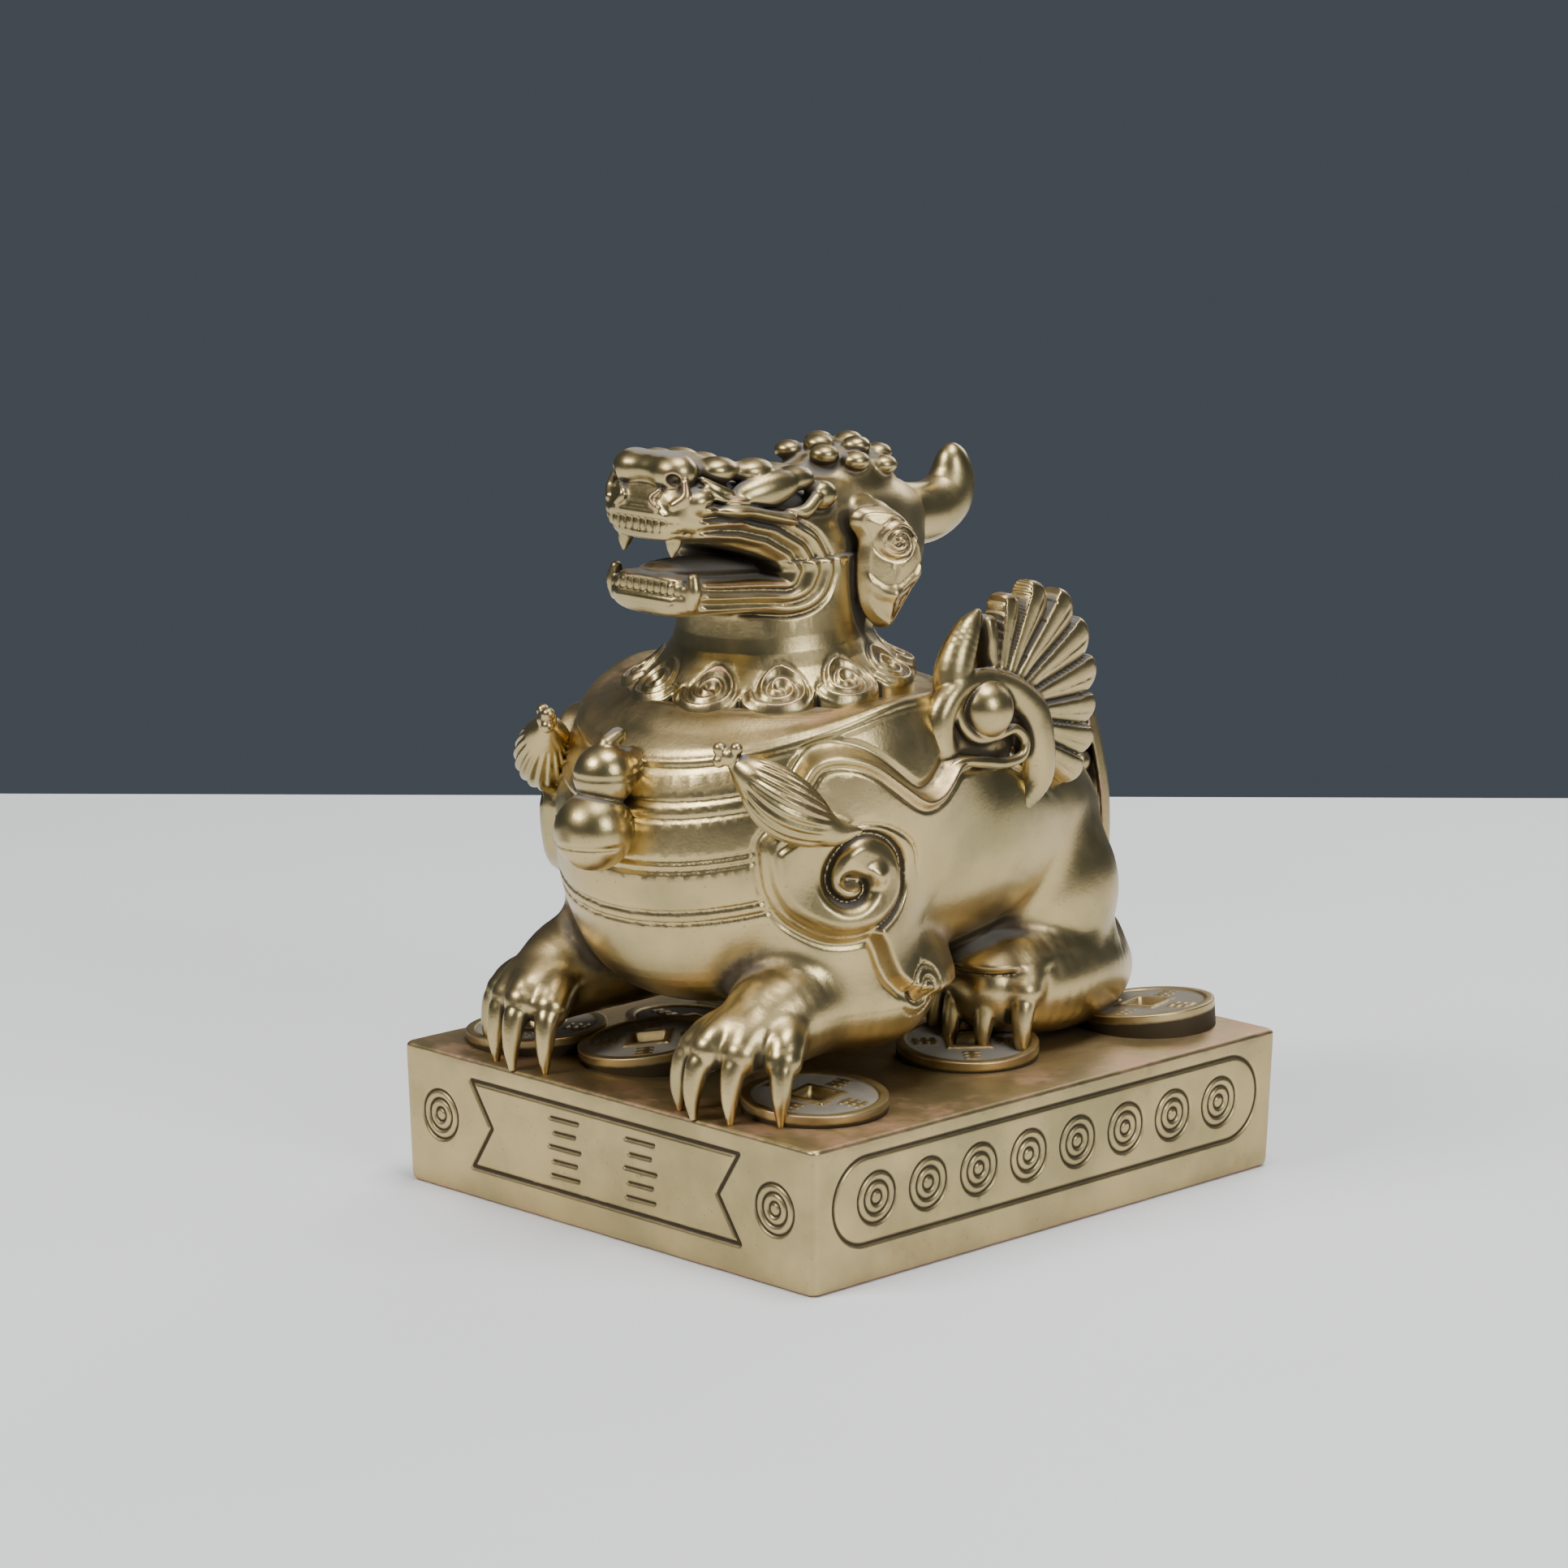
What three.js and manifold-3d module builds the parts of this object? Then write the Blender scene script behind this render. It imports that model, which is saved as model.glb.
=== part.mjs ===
// Brass pixiu on a rectangular plinth strewn with cash coins. Millimetres, +Z up.
// The figure faces -Y and its left side is +X. The origin is the centre of the plinth's underside.
import * as THREE from "three";
import { mergeVertices } from "three/addons/utils/BufferGeometryUtils.js";
import Module from "manifold-3d";

const wasm = await Module();
wasm.setup();

// Plinth slab, its engraving and the coins cast on it.
const plinth = { width: 100, depth: 114.6, height: 24.6, draft: 0.64, corner: 1.6, edge: 0.7 };
const groove = { width: 0.9, depth: 0.5 };
const roundel = { radius: 4.3, fromTop: 10.4, sides: 8, perSide: 8, pitch: 12.1, frontOffset: 40.6 };
const banner = { halfLength: 32.5, halfHeight: 7.6, swallow: 5, fromTop: 11.4 };
const stadium = { halfLength: 52.3, halfHeight: 7.4, fromTop: 10.4 };
const strokes = { rows: 3, length: 6.5, pitch: 3.2, columns: [-9.2, 9.2] };
const coin = { radius: 12.2, thickness: 2.4, hole: 5.6, sides: 12 };
const coins = [
  { at: [31.5, -38.5], lift: 0.4, lean: [2, 3] },
  { at: [-11, -35.6], lift: 1.6, lean: [7, -4] },
  { at: [-17, -19], lift: 0.5, lean: [-4, 3] },
  { at: [-34.5, -40], lift: 0.4, lean: [2, -3] },
  { at: [25, 5], lift: 0.5, lean: [3, 4] },
  { at: [-25, 6], lift: 0.5, lean: [3, -3] },
  { at: [30.5, 44.5], lift: 1.3, lean: [2, -5] },
  { at: [-29, 44], lift: 0.9, lean: [-3, 4] },
];

// Barrel chest: level rings of the profile, tipped down to the front by slope.
const chest = {
  y: -19,
  sides: 20,
  slope: 0.33,
  backSlope: 0.13,
  profile: [[20, 43], [29, 50.5], [34, 62], [35.4, 73], [33.6, 83.6], [30.9, 90.6]],
  cap: [[23.4, 89.8]],
};
// Trunk sections from the chest back to the rump: y, half width, top, bottom.
const trunk = {
  sides: 14,
  sections: [
    [-20, 31, 88, 43], [-4, 34, 87.5, 42], [14, 32.5, 86, 42], [30, 28.4, 81.5, 43], [42, 21.5, 73, 46],
    [48, 10.5, 65, 52],
  ],
};
const neck = {
  sides: 12,
  rings: [[0, -18, 92, 16.4], [0, -18, 97.5, 15.6], [0, -16.5, 102, 15.4], [0, -11, 112, 13.6]],
};
const collar = {
  lobes: 11,
  radius: 24.7,
  rise: 2.3,
  notch: 1.15,
  bottom: 88.2,
  top: 95.5,
  thickness: 2,
  neckRadius: 17,
};

// Upper head, from the back of the skull to the nose: y, half width, top, bottom.
const skull = {
  sides: 12,
  sections: [
    [14, 5, 118, 108], [10, 8.6, 121.6, 103], [3, 12, 124.2, 98], [-8, 14.4, 125, 97],
    [-18, 14.6, 124.2, 103], [-25, 13.4, 124, 108.6], [-32, 11.4, 126, 112.6],
    [-38, 10.4, 128.6, 115.6], [-43.5, 9.6, 129.2, 118], [-47, 7.4, 126, 119.2],
  ],
};
const jaw = {
  sides: 10,
  squareness: 0.7,
  sections: [
    [-8, 13.6, 108, 95], [-18, 13.6, 109.6, 97.4], [-27, 12.6, 109.9, 100], [-36, 11.4, 110.1, 102],
    [-42.5, 9.8, 110.3, 103.4], [-45.6, 8, 109.8, 105],
  ],
};
const mouth = { back: -13, front: -30, halfWidth: [8.6, 9.4], low: [109, 108.4], high: [111.2, 114] };
const lipRidge = {
  route: [
    [10.4, -37, 119.4], [12.8, -27, 118.6], [14, -19.4, 113.4], [13.8, -20, 106.6], [11.8, -33, 103.4],
  ],
  radius: 1.35,
};
const fang = { route: [[9.2, -36.6, 118], [9.4, -37.4, 112.6]], radius: [1.5, 0.4] };
const nose = {
  at: [0, -42.4, 127.4],
  radii: [4.4, 5, 3.5],
  nostril: [4.6, -42.8, 125.6],
  nostrilRadii: [3.7, 4.2, 3.8],
};
const eye = { at: [12, -26.6, 122.6], radii: [2.4, 5.4, 3], turn: [10, 0, -12] };
const brow = {
  route: [[5.6, -34.6, 126.8], [9.8, -29, 126.4], [13, -20.4, 124], [14, -15, 120.8]],
  radius: [1.4, 2.2, 2.2, 1],
};
const crest = {
  side: [6.4, -4.4, 124.2],
  sideRadii: [6, 6.6, 4],
  lean: -14,
  middle: [0, -3, 125],
  middleRadii: [4.6, 8, 3.4],
};
const tongue = {
  route: [[0, -22, 108.4], [0, -32, 110.8], [0, -38.6, 112]],
  radius: [6.4, 5.6, 3],
  flat: 0.26,
};
// The front teeth, a low bar across each lip: y, z, half width.
const teeth = { thickness: 1.8, height: 1.9, upper: [-45.6, 117.9, 8.4], lower: [-44.2, 110.9, 7.8] };
const horn = {
  route: [[0, 6, 113], [0, 14, 114.2], [0, 21.8, 113.4], [0, 26.8, 117.2], [0, 26.4, 122.8], [0, 26, 125]],
  radius: [6, 5.4, 4.4, 4, 3, 1.8],
};
const ear = {
  top: [16.2, -6.4, 119],
  tip: [18.4, -9, 99.4],
  halfWidth: 6,
  widths: [0.5, 0.96, 1, 0.7, 0.1],
  thickness: 2.4,
  turn: 25,
};

const bell = {
  upper: [0, -55.9, 78.4],
  upperRadius: 5.3,
  lower: [0, -58.6, 69.4],
  lowerRadius: 6.7,
  linkRadius: [2.6, 2.8],
  rootY: -50,
};
const tassel = {
  route: [[20.6, -49, 82.6], [26.4, -45.2, 78], [30.4, -41, 73.6], [33.6, -36.4, 70.4]],
  radius: [2.4, 5.8, 4.4, 0.8],
};

const shoulderScroll = {
  centre: [-32.5, 64],
  sink: 1.5,
  turns: 1.5,
  outer: 15.5,
  inner: 2.4,
  start: 118,
  width: [2.9, 1.6],
  perTurn: 8,
};
// Raised shoulder that runs back to the wing. Its top edge: y, z.
const shoulder = {
  proud: 2.4,
  low: 50,
  from: -48,
  length: 74,
  edge: [
    [-43.5, 76], [-41.4, 81.8], [-36, 83.4], [-30.6, 82], [-24, 77.8], [-17.4, 75.2], [-12, 78], [-6, 81],
    [4, 80.6], [13, 75.4], [22, 67],
  ],
};
// Half width of the flank: the barrel's round in front, then the trunk drawing in towards the rump.
const flank = { radius: 35, from: -4, to: 42, width: [35, 22.5], least: 21, ease: 1.6 };
const wing = {
  hub: [31, 2, 85.4],
  // Direction and reach of each feather from the hub.
  feathers: [
    [87, 16.8], [72, 20.7], [54.5, 24.8], [38, 27.6], [21.5, 28.4], [6, 28.6], [-7, 28.2], [-19, 28.8],
    [-31, 28.3],
  ],
  root: 2,
  thickness: [3.6, 2.4],
  valley: { reach: 0.955, outer: 0.8, thickness: 0.6 },
  lean: 0.05,
  tipStart: 0.84,
  ball: [32.4, -1.2, 86.8],
  ballRadius: 6.2,
  scroll: [
    [33, 15.4, 71], [33.2, 14.8, 78.4], [32.6, 12, 85.6], [32.2, 6.6, 91], [32.2, -1, 93.4],
    [32, -8.2, 91.2], [32, -11.4, 85.6], [32, -8.6, 80.4],
  ],
  scrollRadius: [2.2, 3, 3.1, 3, 2.8, 2.6, 2.4, 1.8],
};

const foreleg = {
  route: [[24, -12, 42.2], [25.6, -20, 41.2], [23.8, -31, 40.4], [24.4, -40, 39.4], [25.4, -47.5, 34.6]],
  radius: [8, 10.4, 9.4, 8.8, 7.6],
  elbowCurl: [34.6, -18.8, 42.2],
  curlRadii: [2.6, 4.8, 4.8],
  shoulder: [24.5, -26, 52],
  shoulderRadii: [10, 13, 13],
};
const forePaw = {
  claws: [[16.4, -54.6], [22, -57], [28.4, -54.8], [35.2, -50]],
  heel: [26, -38],
  knuckle: 38.2,
};
const hindleg = {
  thigh: [19.6, 29, 49],
  thighRadii: [12.2, 15, 16],
  route: [[25, 11, 34.4], [25.4, 22, 35], [22.4, 33, 34.8], [19.2, 42, 33.6], [18, 46.4, 32.4]],
  radius: [8.6, 9.6, 10, 7.8, 3.4],
};
const hindPaw = {
  claws: [[15.8, 6.8], [21.6, 4.6], [28, 5.6], [33.8, 9]],
  heel: [25, 22],
  knuckle: 41.6,
};
const toe = { radius: [3.5, 3.5, 2, 0.4] };

// Upright plume of the tail: y, z, half width, and how far its sides cup forward.
const tail = {
  sides: 8,
  thickness: 2.6,
  edge: 0.3,
  stations: [
    [43, 34, 4, 0.5], [54, 36.5, 7.6, 2.6], [60.4, 47, 9.8, 4.2], [61, 60, 10, 4.4], [58, 74, 8.4, 3.4],
    [54.4, 83, 5.6, 2], [51.6, 88.4, 1.6, 0.4],
  ],
  // The two thick stems that tie it to the rump.
  stems: [
    { route: [[0, 42, 45], [0, 50, 42], [0, 58, 46]], radius: [6, 5.4, 4] },
    { route: [[0, 42, 64], [0, 50, 66], [0, 58, 68]], radius: [6, 4.8, 4] },
  ],
};
const clearance = 0.3;
const brass = { figure: 0x9c8552, plinth: 0x8a764a };

const vec = (x = 0, y = 0, z = 0) => new THREE.Vector3(x, y, z);
const rad = THREE.MathUtils.degToRad;

// A closed geometry as a solid that can be joined and cut.
function solid(geometry) {
  const bare = geometry.clone();
  bare.deleteAttribute("normal");
  bare.deleteAttribute("uv");
  const merged = mergeVertices(bare, 1e-4);
  const kept = [];
  for (let i = 0; i < merged.index.count; i += 3) {
    const [a, b, c] = merged.index.array.slice(i, i + 3);
    if (a !== b && b !== c && c !== a) kept.push(a, b, c);
  }
  const vertProperties = new Float32Array(merged.attributes.position.array);
  return new wasm.Manifold(new wasm.Mesh({ numProp: 3, vertProperties, triVerts: new Uint32Array(kept) }));
}

const join = (geometries) => geometries.map(solid).reduce((whole, next) => whole.add(next));

function geometryOf(body) {
  const mesh = body.getMesh();
  const geometry = new THREE.BufferGeometry();
  geometry.setAttribute("position", new THREE.BufferAttribute(mesh.vertProperties, 3));
  geometry.setIndex(new THREE.BufferAttribute(mesh.triVerts, 1));
  geometry.computeVertexNormals();
  return geometry;
}

function build(points, index) {
  const geometry = new THREE.BufferGeometry().setFromPoints(points);
  let volume = 0;
  for (let i = 0; i < index.length; i += 3) {
    const [a, b, c] = index.slice(i, i + 3).map((k) => points[k]);
    volume += a.dot(vec().crossVectors(b, c));
  }
  geometry.setIndex(volume < 0 ? index.reverse() : index);
  return geometry;
}

// Skin over closed rings with the same number of points, capped at both ends.
function skin(rings) {
  const count = rings[0].length;
  const middle = (ring) => ring.reduce((sum, p) => sum.add(p), vec(0, 0, 0)).divideScalar(count);
  const points = [...rings.flat(), middle(rings[0]), middle(rings.at(-1))];
  const [first, last, end] = [points.length - 2, points.length - 1, (rings.length - 1) * count];
  const index = [];
  for (let i = 0; i < count; i++) {
    const next = (i + 1) % count;
    for (let base = 0; base < end; base += count) {
      index.push(base + i, base + next, base + count + i);
      index.push(base + next, base + count + next, base + count + i);
    }
    index.push(first, next, i, last, end + i, end + next);
  }
  return build(points, index);
}

// Points round an oval whose half axes are the vectors a and b.
function oval(centre, a, b, sides, power = 1) {
  const bend = (t) => Math.sign(t) * Math.abs(t) ** power;
  return Array.from({ length: sides }, (_, i) => {
    const angle = ((i + 0.5) / sides) * 2 * Math.PI;
    const [along, up] = [bend(Math.cos(angle)), bend(Math.sin(angle))];
    return centre.clone().addScaledVector(a, along).addScaledVector(b, up);
  });
}

// A limb along a smooth route. Each section is radius wide along the side direction
// and flat times that across it.
function limb(route, radius, { sides = 8, steps = 2, side = vec(1, 0, 0), flat = 1 } = {}) {
  const path = new THREE.CatmullRomCurve3(route.map((p) => vec(...p)));
  const widths = new THREE.CatmullRomCurve3(radius.map((r) => vec(r, 0, 0)));
  const count = (route.length - 1) * steps;
  const rings = Array.from({ length: count + 1 }, (_, k) => {
    const along = path.getTangent(k / count);
    const up = vec().crossVectors(along, side).normalize();
    const across = vec().crossVectors(up, along).normalize();
    const width = Math.max(widths.getPoint(k / count).x, 0.2);
    across.multiplyScalar(width);
    up.multiplyScalar(width * flat);
    return oval(path.getPoint(k / count), across, up, sides);
  });
  return skin(rings);
}

function blob(centre, radii, { turn = [0, 0, 0], round = 8, tall = 5 } = {}) {
  const matrix = new THREE.Matrix4().compose(
    vec(...centre),
    new THREE.Quaternion().setFromEuler(new THREE.Euler(...turn.map(rad))),
    vec(...radii),
  );
  return new THREE.SphereGeometry(1, round, tall).rotateX(Math.PI / 2).applyMatrix4(matrix);
}

function mirrored(geometry) {
  const twin = (geometry.index ? geometry : mergeVertices(geometry)).clone().scale(-1, 1, 1);
  twin.setIndex(Array.from(twin.index.array).reverse());
  return twin;
}

const bothSides = (geometries) => [...geometries, ...geometries.map(mirrored)];

function roundedRectangle(halfX, halfY, radius, z) {
  const corner = 3;
  return [[1, 1, 0], [-1, 1, 90], [-1, -1, 180], [1, -1, 270]].flatMap(([sx, sy, from]) =>
    Array.from({ length: corner + 1 }, (_, i) => {
      const angle = rad(from + (90 * i) / corner);
      const [x, y] = [radius * Math.cos(angle), radius * Math.sin(angle)];
      return vec(sx * (halfX - radius) + x, sy * (halfY - radius) + y, z);
    }),
  );
}

function plinthSlab(grow = 0) {
  const { width, depth, height, draft, corner, edge } = plinth;
  const ring = (z, inset) => roundedRectangle(width / 2 - inset + grow, depth / 2 - inset + grow, corner, z);
  const [low, high] = [ring(0, draft + edge), ring(height + grow, edge)];
  return skin([low, ring(edge, draft), ring(height - edge + grow, 0), high]);
}

// A strip of the groove's section, drawn on a face as a closed or open line of (u, v) points.
function grooveCutter(line, closed, place) {
  const ring = (p, half) => {
    const other = half.clone().negate();
    const deep = -groove.depth;
    return [place(p, half, deep), place(p, other, deep), place(p, other, 1), place(p, half, 1)];
  };
  const pieces = [];
  const last = closed ? line.length : line.length - 1;
  for (let i = 0; i < last; i++) {
    const a = line[i];
    const b = line[(i + 1) % line.length];
    const along = new THREE.Vector2().subVectors(b, a).normalize().multiplyScalar(groove.width / 2);
    const across = new THREE.Vector2(-along.y, along.x);
    const ends = [a.clone().sub(along), b.clone().add(along)];
    pieces.push(skin(ends.map((p) => ring(p, across))));
  }
  return pieces;
}

// Ring-shaped cutter about a point of a face.
function ringCutter(centre, radius, place) {
  const [inner, outer] = [radius - groove.width / 2, radius + groove.width / 2];
  const deep = -groove.depth;
  const profile = [[inner, deep], [outer, deep], [outer, 1], [inner, 1], [inner, deep]];
  const ring = new THREE.LatheGeometry(flat(profile), roundel.sides);
  const origin = place(centre, new THREE.Vector2(), 0);
  const u = place(centre, new THREE.Vector2(1, 0), 0).sub(origin);
  const v = place(centre, new THREE.Vector2(0, 1), 0).sub(origin);
  const out = place(centre, new THREE.Vector2(), 1).sub(origin);
  return ring.applyMatrix4(new THREE.Matrix4().makeBasis(u, out, v.negate()).setPosition(origin));
}

// Places (u, v) on one side of the plinth: u along it, v up from its underside, out from its drafted face.
function sidePlane(facing) {
  const reach = (facing % 2 ? plinth.width : plinth.depth) / 2;
  const turn = (p) => p.applyAxisAngle(vec(0, 0, 1), (facing * Math.PI) / 2);
  const inset = (v) => plinth.draft * (1 - v / plinth.height);
  return (point, offset, out) => {
    const v = point.y + offset.y;
    return turn(vec(point.x + offset.x, -reach + inset(v) - out, v));
  };
}

const flat = (list) => list.map(([u, v]) => new THREE.Vector2(u, v));

function frontEngraving(place) {
  const { halfLength, halfHeight, swallow, fromTop } = banner;
  const v = plinth.height - fromTop;
  const outline = [
    [-halfLength, v + halfHeight], [halfLength, v + halfHeight], [halfLength - swallow, v],
    [halfLength, v - halfHeight], [-halfLength, v - halfHeight], [-halfLength + swallow, v],
  ];
  const cuts = grooveCutter(flat(outline), true, place);
  for (const u of [-roundel.frontOffset, roundel.frontOffset])
    cuts.push(ringCutter(new THREE.Vector2(u, v), roundel.radius, place));
  const reach = strokes.length / 2;
  for (const u of strokes.columns)
    for (let row = 0; row < strokes.rows; row++) {
      const height = v + (row - (strokes.rows - 1) / 2) * strokes.pitch;
      cuts.push(...grooveCutter(flat([[u - reach, height], [u + reach, height]]), false, place));
    }
  return cuts;
}

function sideEngraving(place, roundels) {
  const { halfLength, halfHeight, fromTop } = stadium;
  const v = plinth.height - fromTop;
  const arcSteps = 4;
  const arc = (end) =>
    Array.from({ length: arcSteps + 1 }, (_, i) => {
      const angle = rad((180 * i) / arcSteps - 90);
      const [out, up] = [halfHeight * Math.cos(angle), halfHeight * Math.sin(angle)];
      return [end * (halfLength - halfHeight + out), v + end * up];
    });
  const cuts = grooveCutter(flat([...arc(1), ...arc(-1)]), true, place);
  for (let i = 0; i < roundels; i++) {
    const u = (i - (roundels - 1) / 2) * roundel.pitch;
    cuts.push(ringCutter(new THREE.Vector2(u, v), roundel.radius, place));
  }
  return cuts;
}

// A cash coin, leaning a little where it lies. grow thickens it all round.
function coinBody({ at, lift, lean }, grow = 0) {
  const { radius, thickness, sides } = coin;
  const [low, high] = [-thickness - lift - 1, thickness / 2 + grow];
  const outline = [[0, low], [radius + grow, low], [radius + grow, high], [0, high]];
  const disc = new THREE.LatheGeometry(flat(outline), sides).rotateX(Math.PI / 2);
  return laid(disc, at, lift, lean);
}

function laid(geometry, at, lift, lean) {
  const turned = geometry.rotateX(rad(lean[0])).rotateY(rad(lean[1]));
  return turned.translate(at[0], at[1], plinth.height + coin.thickness / 2 + lift);
}

function coinHole({ at, lift, lean }) {
  const depth = 2 * coin.thickness;
  const hole = new THREE.BoxGeometry(coin.hole, coin.hole, depth);
  hole.translate(0, 0, depth / 2 - coin.thickness / 3);
  return laid(hole, at, lift, lean);
}

function plinthBody() {
  const { width, depth, height } = plinth;
  const above = new THREE.BoxGeometry(width, depth, height).translate(0, 0, height * 1.3);
  const discs = join(coins.map((one) => coinBody(one))).subtract(join(coins.map(coinHole)));
  const [front, left, right] = [sidePlane(0), sidePlane(1), sidePlane(3)];
  const sides = [...sideEngraving(left, roundel.perSide), ...sideEngraving(right, 0)];
  const slab = solid(plinthSlab()).add(discs.intersect(solid(above)));
  return slab.subtract(join([...frontEngraving(front), ...sides]));
}

// Height that the barrel's level lines gain at distance y from its axis: down in front, nearly level behind.
const chestTip = (y) => (y < 0 ? chest.slope * y : -chest.backSlope * y);

function chestBody() {
  const { y, sides, profile, cap } = chest;
  const ring = ([r, z], tipped) =>
    Array.from({ length: sides }, (_, i) => {
      const angle = ((i + 0.5) / sides) * 2 * Math.PI;
      const out = r * Math.sin(angle);
      return vec(r * Math.cos(angle), y + out, z + tipped * chestTip(out));
    });
  return skin([...profile.map((p) => ring(p, 1)), ...cap.map((p) => ring(p, 0))]);
}

// Upright section of the trunk or head, a little squarer than an oval.
function section([y, half, top, bottom], sides, squareness = 0.86) {
  const middle = vec(0, y, (top + bottom) / 2);
  return oval(middle, vec(half, 0, 0), vec(0, 0, (top - bottom) / 2), sides, squareness);
}

function trunkBody() {
  return skin(trunk.sections.map((one) => section(one, trunk.sides)));
}

const levelRing = ([x, y, z, r], sides) => oval(vec(x, y, z), vec(r, 0, 0), vec(0, r, 0), sides);

// Skirt round the foot of the neck, its hem scalloped by the curls.
function collarBody() {
  const { lobes, radius, rise, notch, bottom, top, thickness, neckRadius } = collar;
  const count = lobes * 2;
  const ring = (size, z, hem) =>
    Array.from({ length: count }, (_, i) => {
      const angle = (i / count) * 2 * Math.PI;
      const between = hem * (i % 2);
      const r = size - between * notch;
      return vec(r * Math.sin(angle), neck.rings[0][1] - r * Math.cos(angle), z + between * rise);
    });
  return skin([ring(radius, bottom, 1), ring(radius - 1, bottom + thickness, 1), ring(neckRadius, top, 0)]);
}

function mouthCut() {
  const { back, front, halfWidth, low, high } = mouth;
  const ring = (y, k) => {
    const half = halfWidth[k];
    return [vec(-half, y, low[k]), vec(half, y, low[k]), vec(half, y, high[k]), vec(-half, y, high[k])];
  };
  return skin([ring(back, 0), ring(front, 1)]);
}

function headBody() {
  const upper = skin(skull.sections.map((s) => section(s, skull.sides)));
  const lower = skin(jaw.sections.map((s) => section(s, jaw.sides, jaw.squareness)));
  return join([upper, lower]).subtract(solid(mouthCut()));
}

// Rims of the lips, tongue, teeth, nose, brows, eyes and the crest of curls.
function faceParts() {
  const sided = [
    limb(lipRidge.route, lipRidge.route.map(() => lipRidge.radius), { sides: 5, steps: 1 }),
    limb(fang.route, fang.radius, { sides: 5, steps: 1 }),
    blob(nose.nostril, nose.nostrilRadii),
    blob(eye.at, eye.radii, { turn: eye.turn, round: 7 }),
    limb(brow.route, brow.radius, { sides: 6, steps: 1 }),
    blob(crest.side, crest.sideRadii, { turn: [crest.lean, 0, 0] }),
  ];
  const middle = [
    blob(nose.at, nose.radii),
    blob(crest.middle, crest.middleRadii),
    limb(tongue.route, tongue.radius, { sides: 6, steps: 1, flat: tongue.flat }),
    teethRow(teeth.upper), teethRow(teeth.lower),
  ];
  return [...bothSides(sided), ...middle];
}

const teethRow = ([y, z, half]) =>
  new THREE.BoxGeometry(2 * half, teeth.thickness, teeth.height).translate(0, y, z);

// Drooping leaf with a pointed tip, standing off the side of the head.
function earBody() {
  const { top, tip, halfWidth, widths, thickness, turn } = ear;
  const at = (t) => vec(...top).lerp(vec(...tip), t);
  const across = vec(Math.sin(rad(turn)), Math.cos(rad(turn)), 0);
  const out = vec(Math.cos(rad(turn)), -Math.sin(rad(turn)), 0).multiplyScalar(thickness);
  return skin(widths.map((w, k) =>
    oval(at(k / (widths.length - 1)), across.clone().multiplyScalar(w * halfWidth), out, 7),
  ));
}

function hornBody() {
  return limb(horn.route, horn.radius, { sides: 8, steps: 1 });
}

// Two bells down the middle of the chest, and a hanging tassel at each side.
function ornaments() {
  const { upper, upperRadius, lower, lowerRadius, linkRadius, rootY } = bell;
  const short = { sides: 6, steps: 1 };
  const link = limb([[0, upper[1] + 1, upper[2] - 3], [0, lower[1] + 1, lower[2] + 4]], linkRadius, short);
  const backing = [upper, lower].map((at) => limb([[0, rootY, at[2]], at], [4, 4.8], short));
  const beads = [
    blob(upper, Array(3).fill(upperRadius), { round: 9, tall: 6 }),
    blob(lower, Array(3).fill(lowerRadius), { round: 9, tall: 6 }),
  ];
  const hanging = limb(tassel.route, tassel.radius, { sides: 9, steps: 1, flat: 0.92 });
  return [link, ...backing, ...beads, ...bothSides([hanging])];
}

function flankX(y) {
  const { radius, from, to, width, least, ease } = flank;
  const round = Math.sqrt(Math.max(radius ** 2 - (y - chest.y) ** 2, 0));
  if (y < chest.y) return round;
  const t = THREE.MathUtils.clamp((y - from) / (to - from), 0, 1);
  return Math.max(THREE.MathUtils.lerp(...width, t ** ease), least);
}

// Band that winds in from the edge of the shoulder to a small eye.
function shoulderScrollBody() {
  const { centre, sink, turns, outer, inner, start, width, perTurn } = shoulderScroll;
  const count = Math.round(turns * perTurn);
  const route = Array.from({ length: count + 1 }, (_, k) => {
    const angle = rad(start + (k / count) * turns * 360);
    const r = THREE.MathUtils.lerp(outer, inner, (k / count) ** 0.8);
    const y = centre[0] + r * Math.cos(angle);
    return [flankX(y) - sink, y, centre[1] + r * Math.sin(angle)];
  });
  const widths = route.map((_, k) => THREE.MathUtils.lerp(...width, k / count));
  return limb(route, widths, { sides: 5, steps: 1, flat: 0.7 });
}

// Raised shoulder with a wavy upper edge, fading into the flank below it.
function shoulderBody() {
  const { proud, low, from, length, edge } = shoulder;
  return skin(edge.map(([y, top]) => {
    const x = flankX(y) + proud * Math.sin((Math.PI * (y - from)) / length);
    const outline = [[9, top - 1], [1.2, top], [0, top - 1.6], [0, top - 10], [5, low], [10, low]];
    return outline.map(([inset, z]) => vec(x - inset, y, z));
  }));
}

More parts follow.
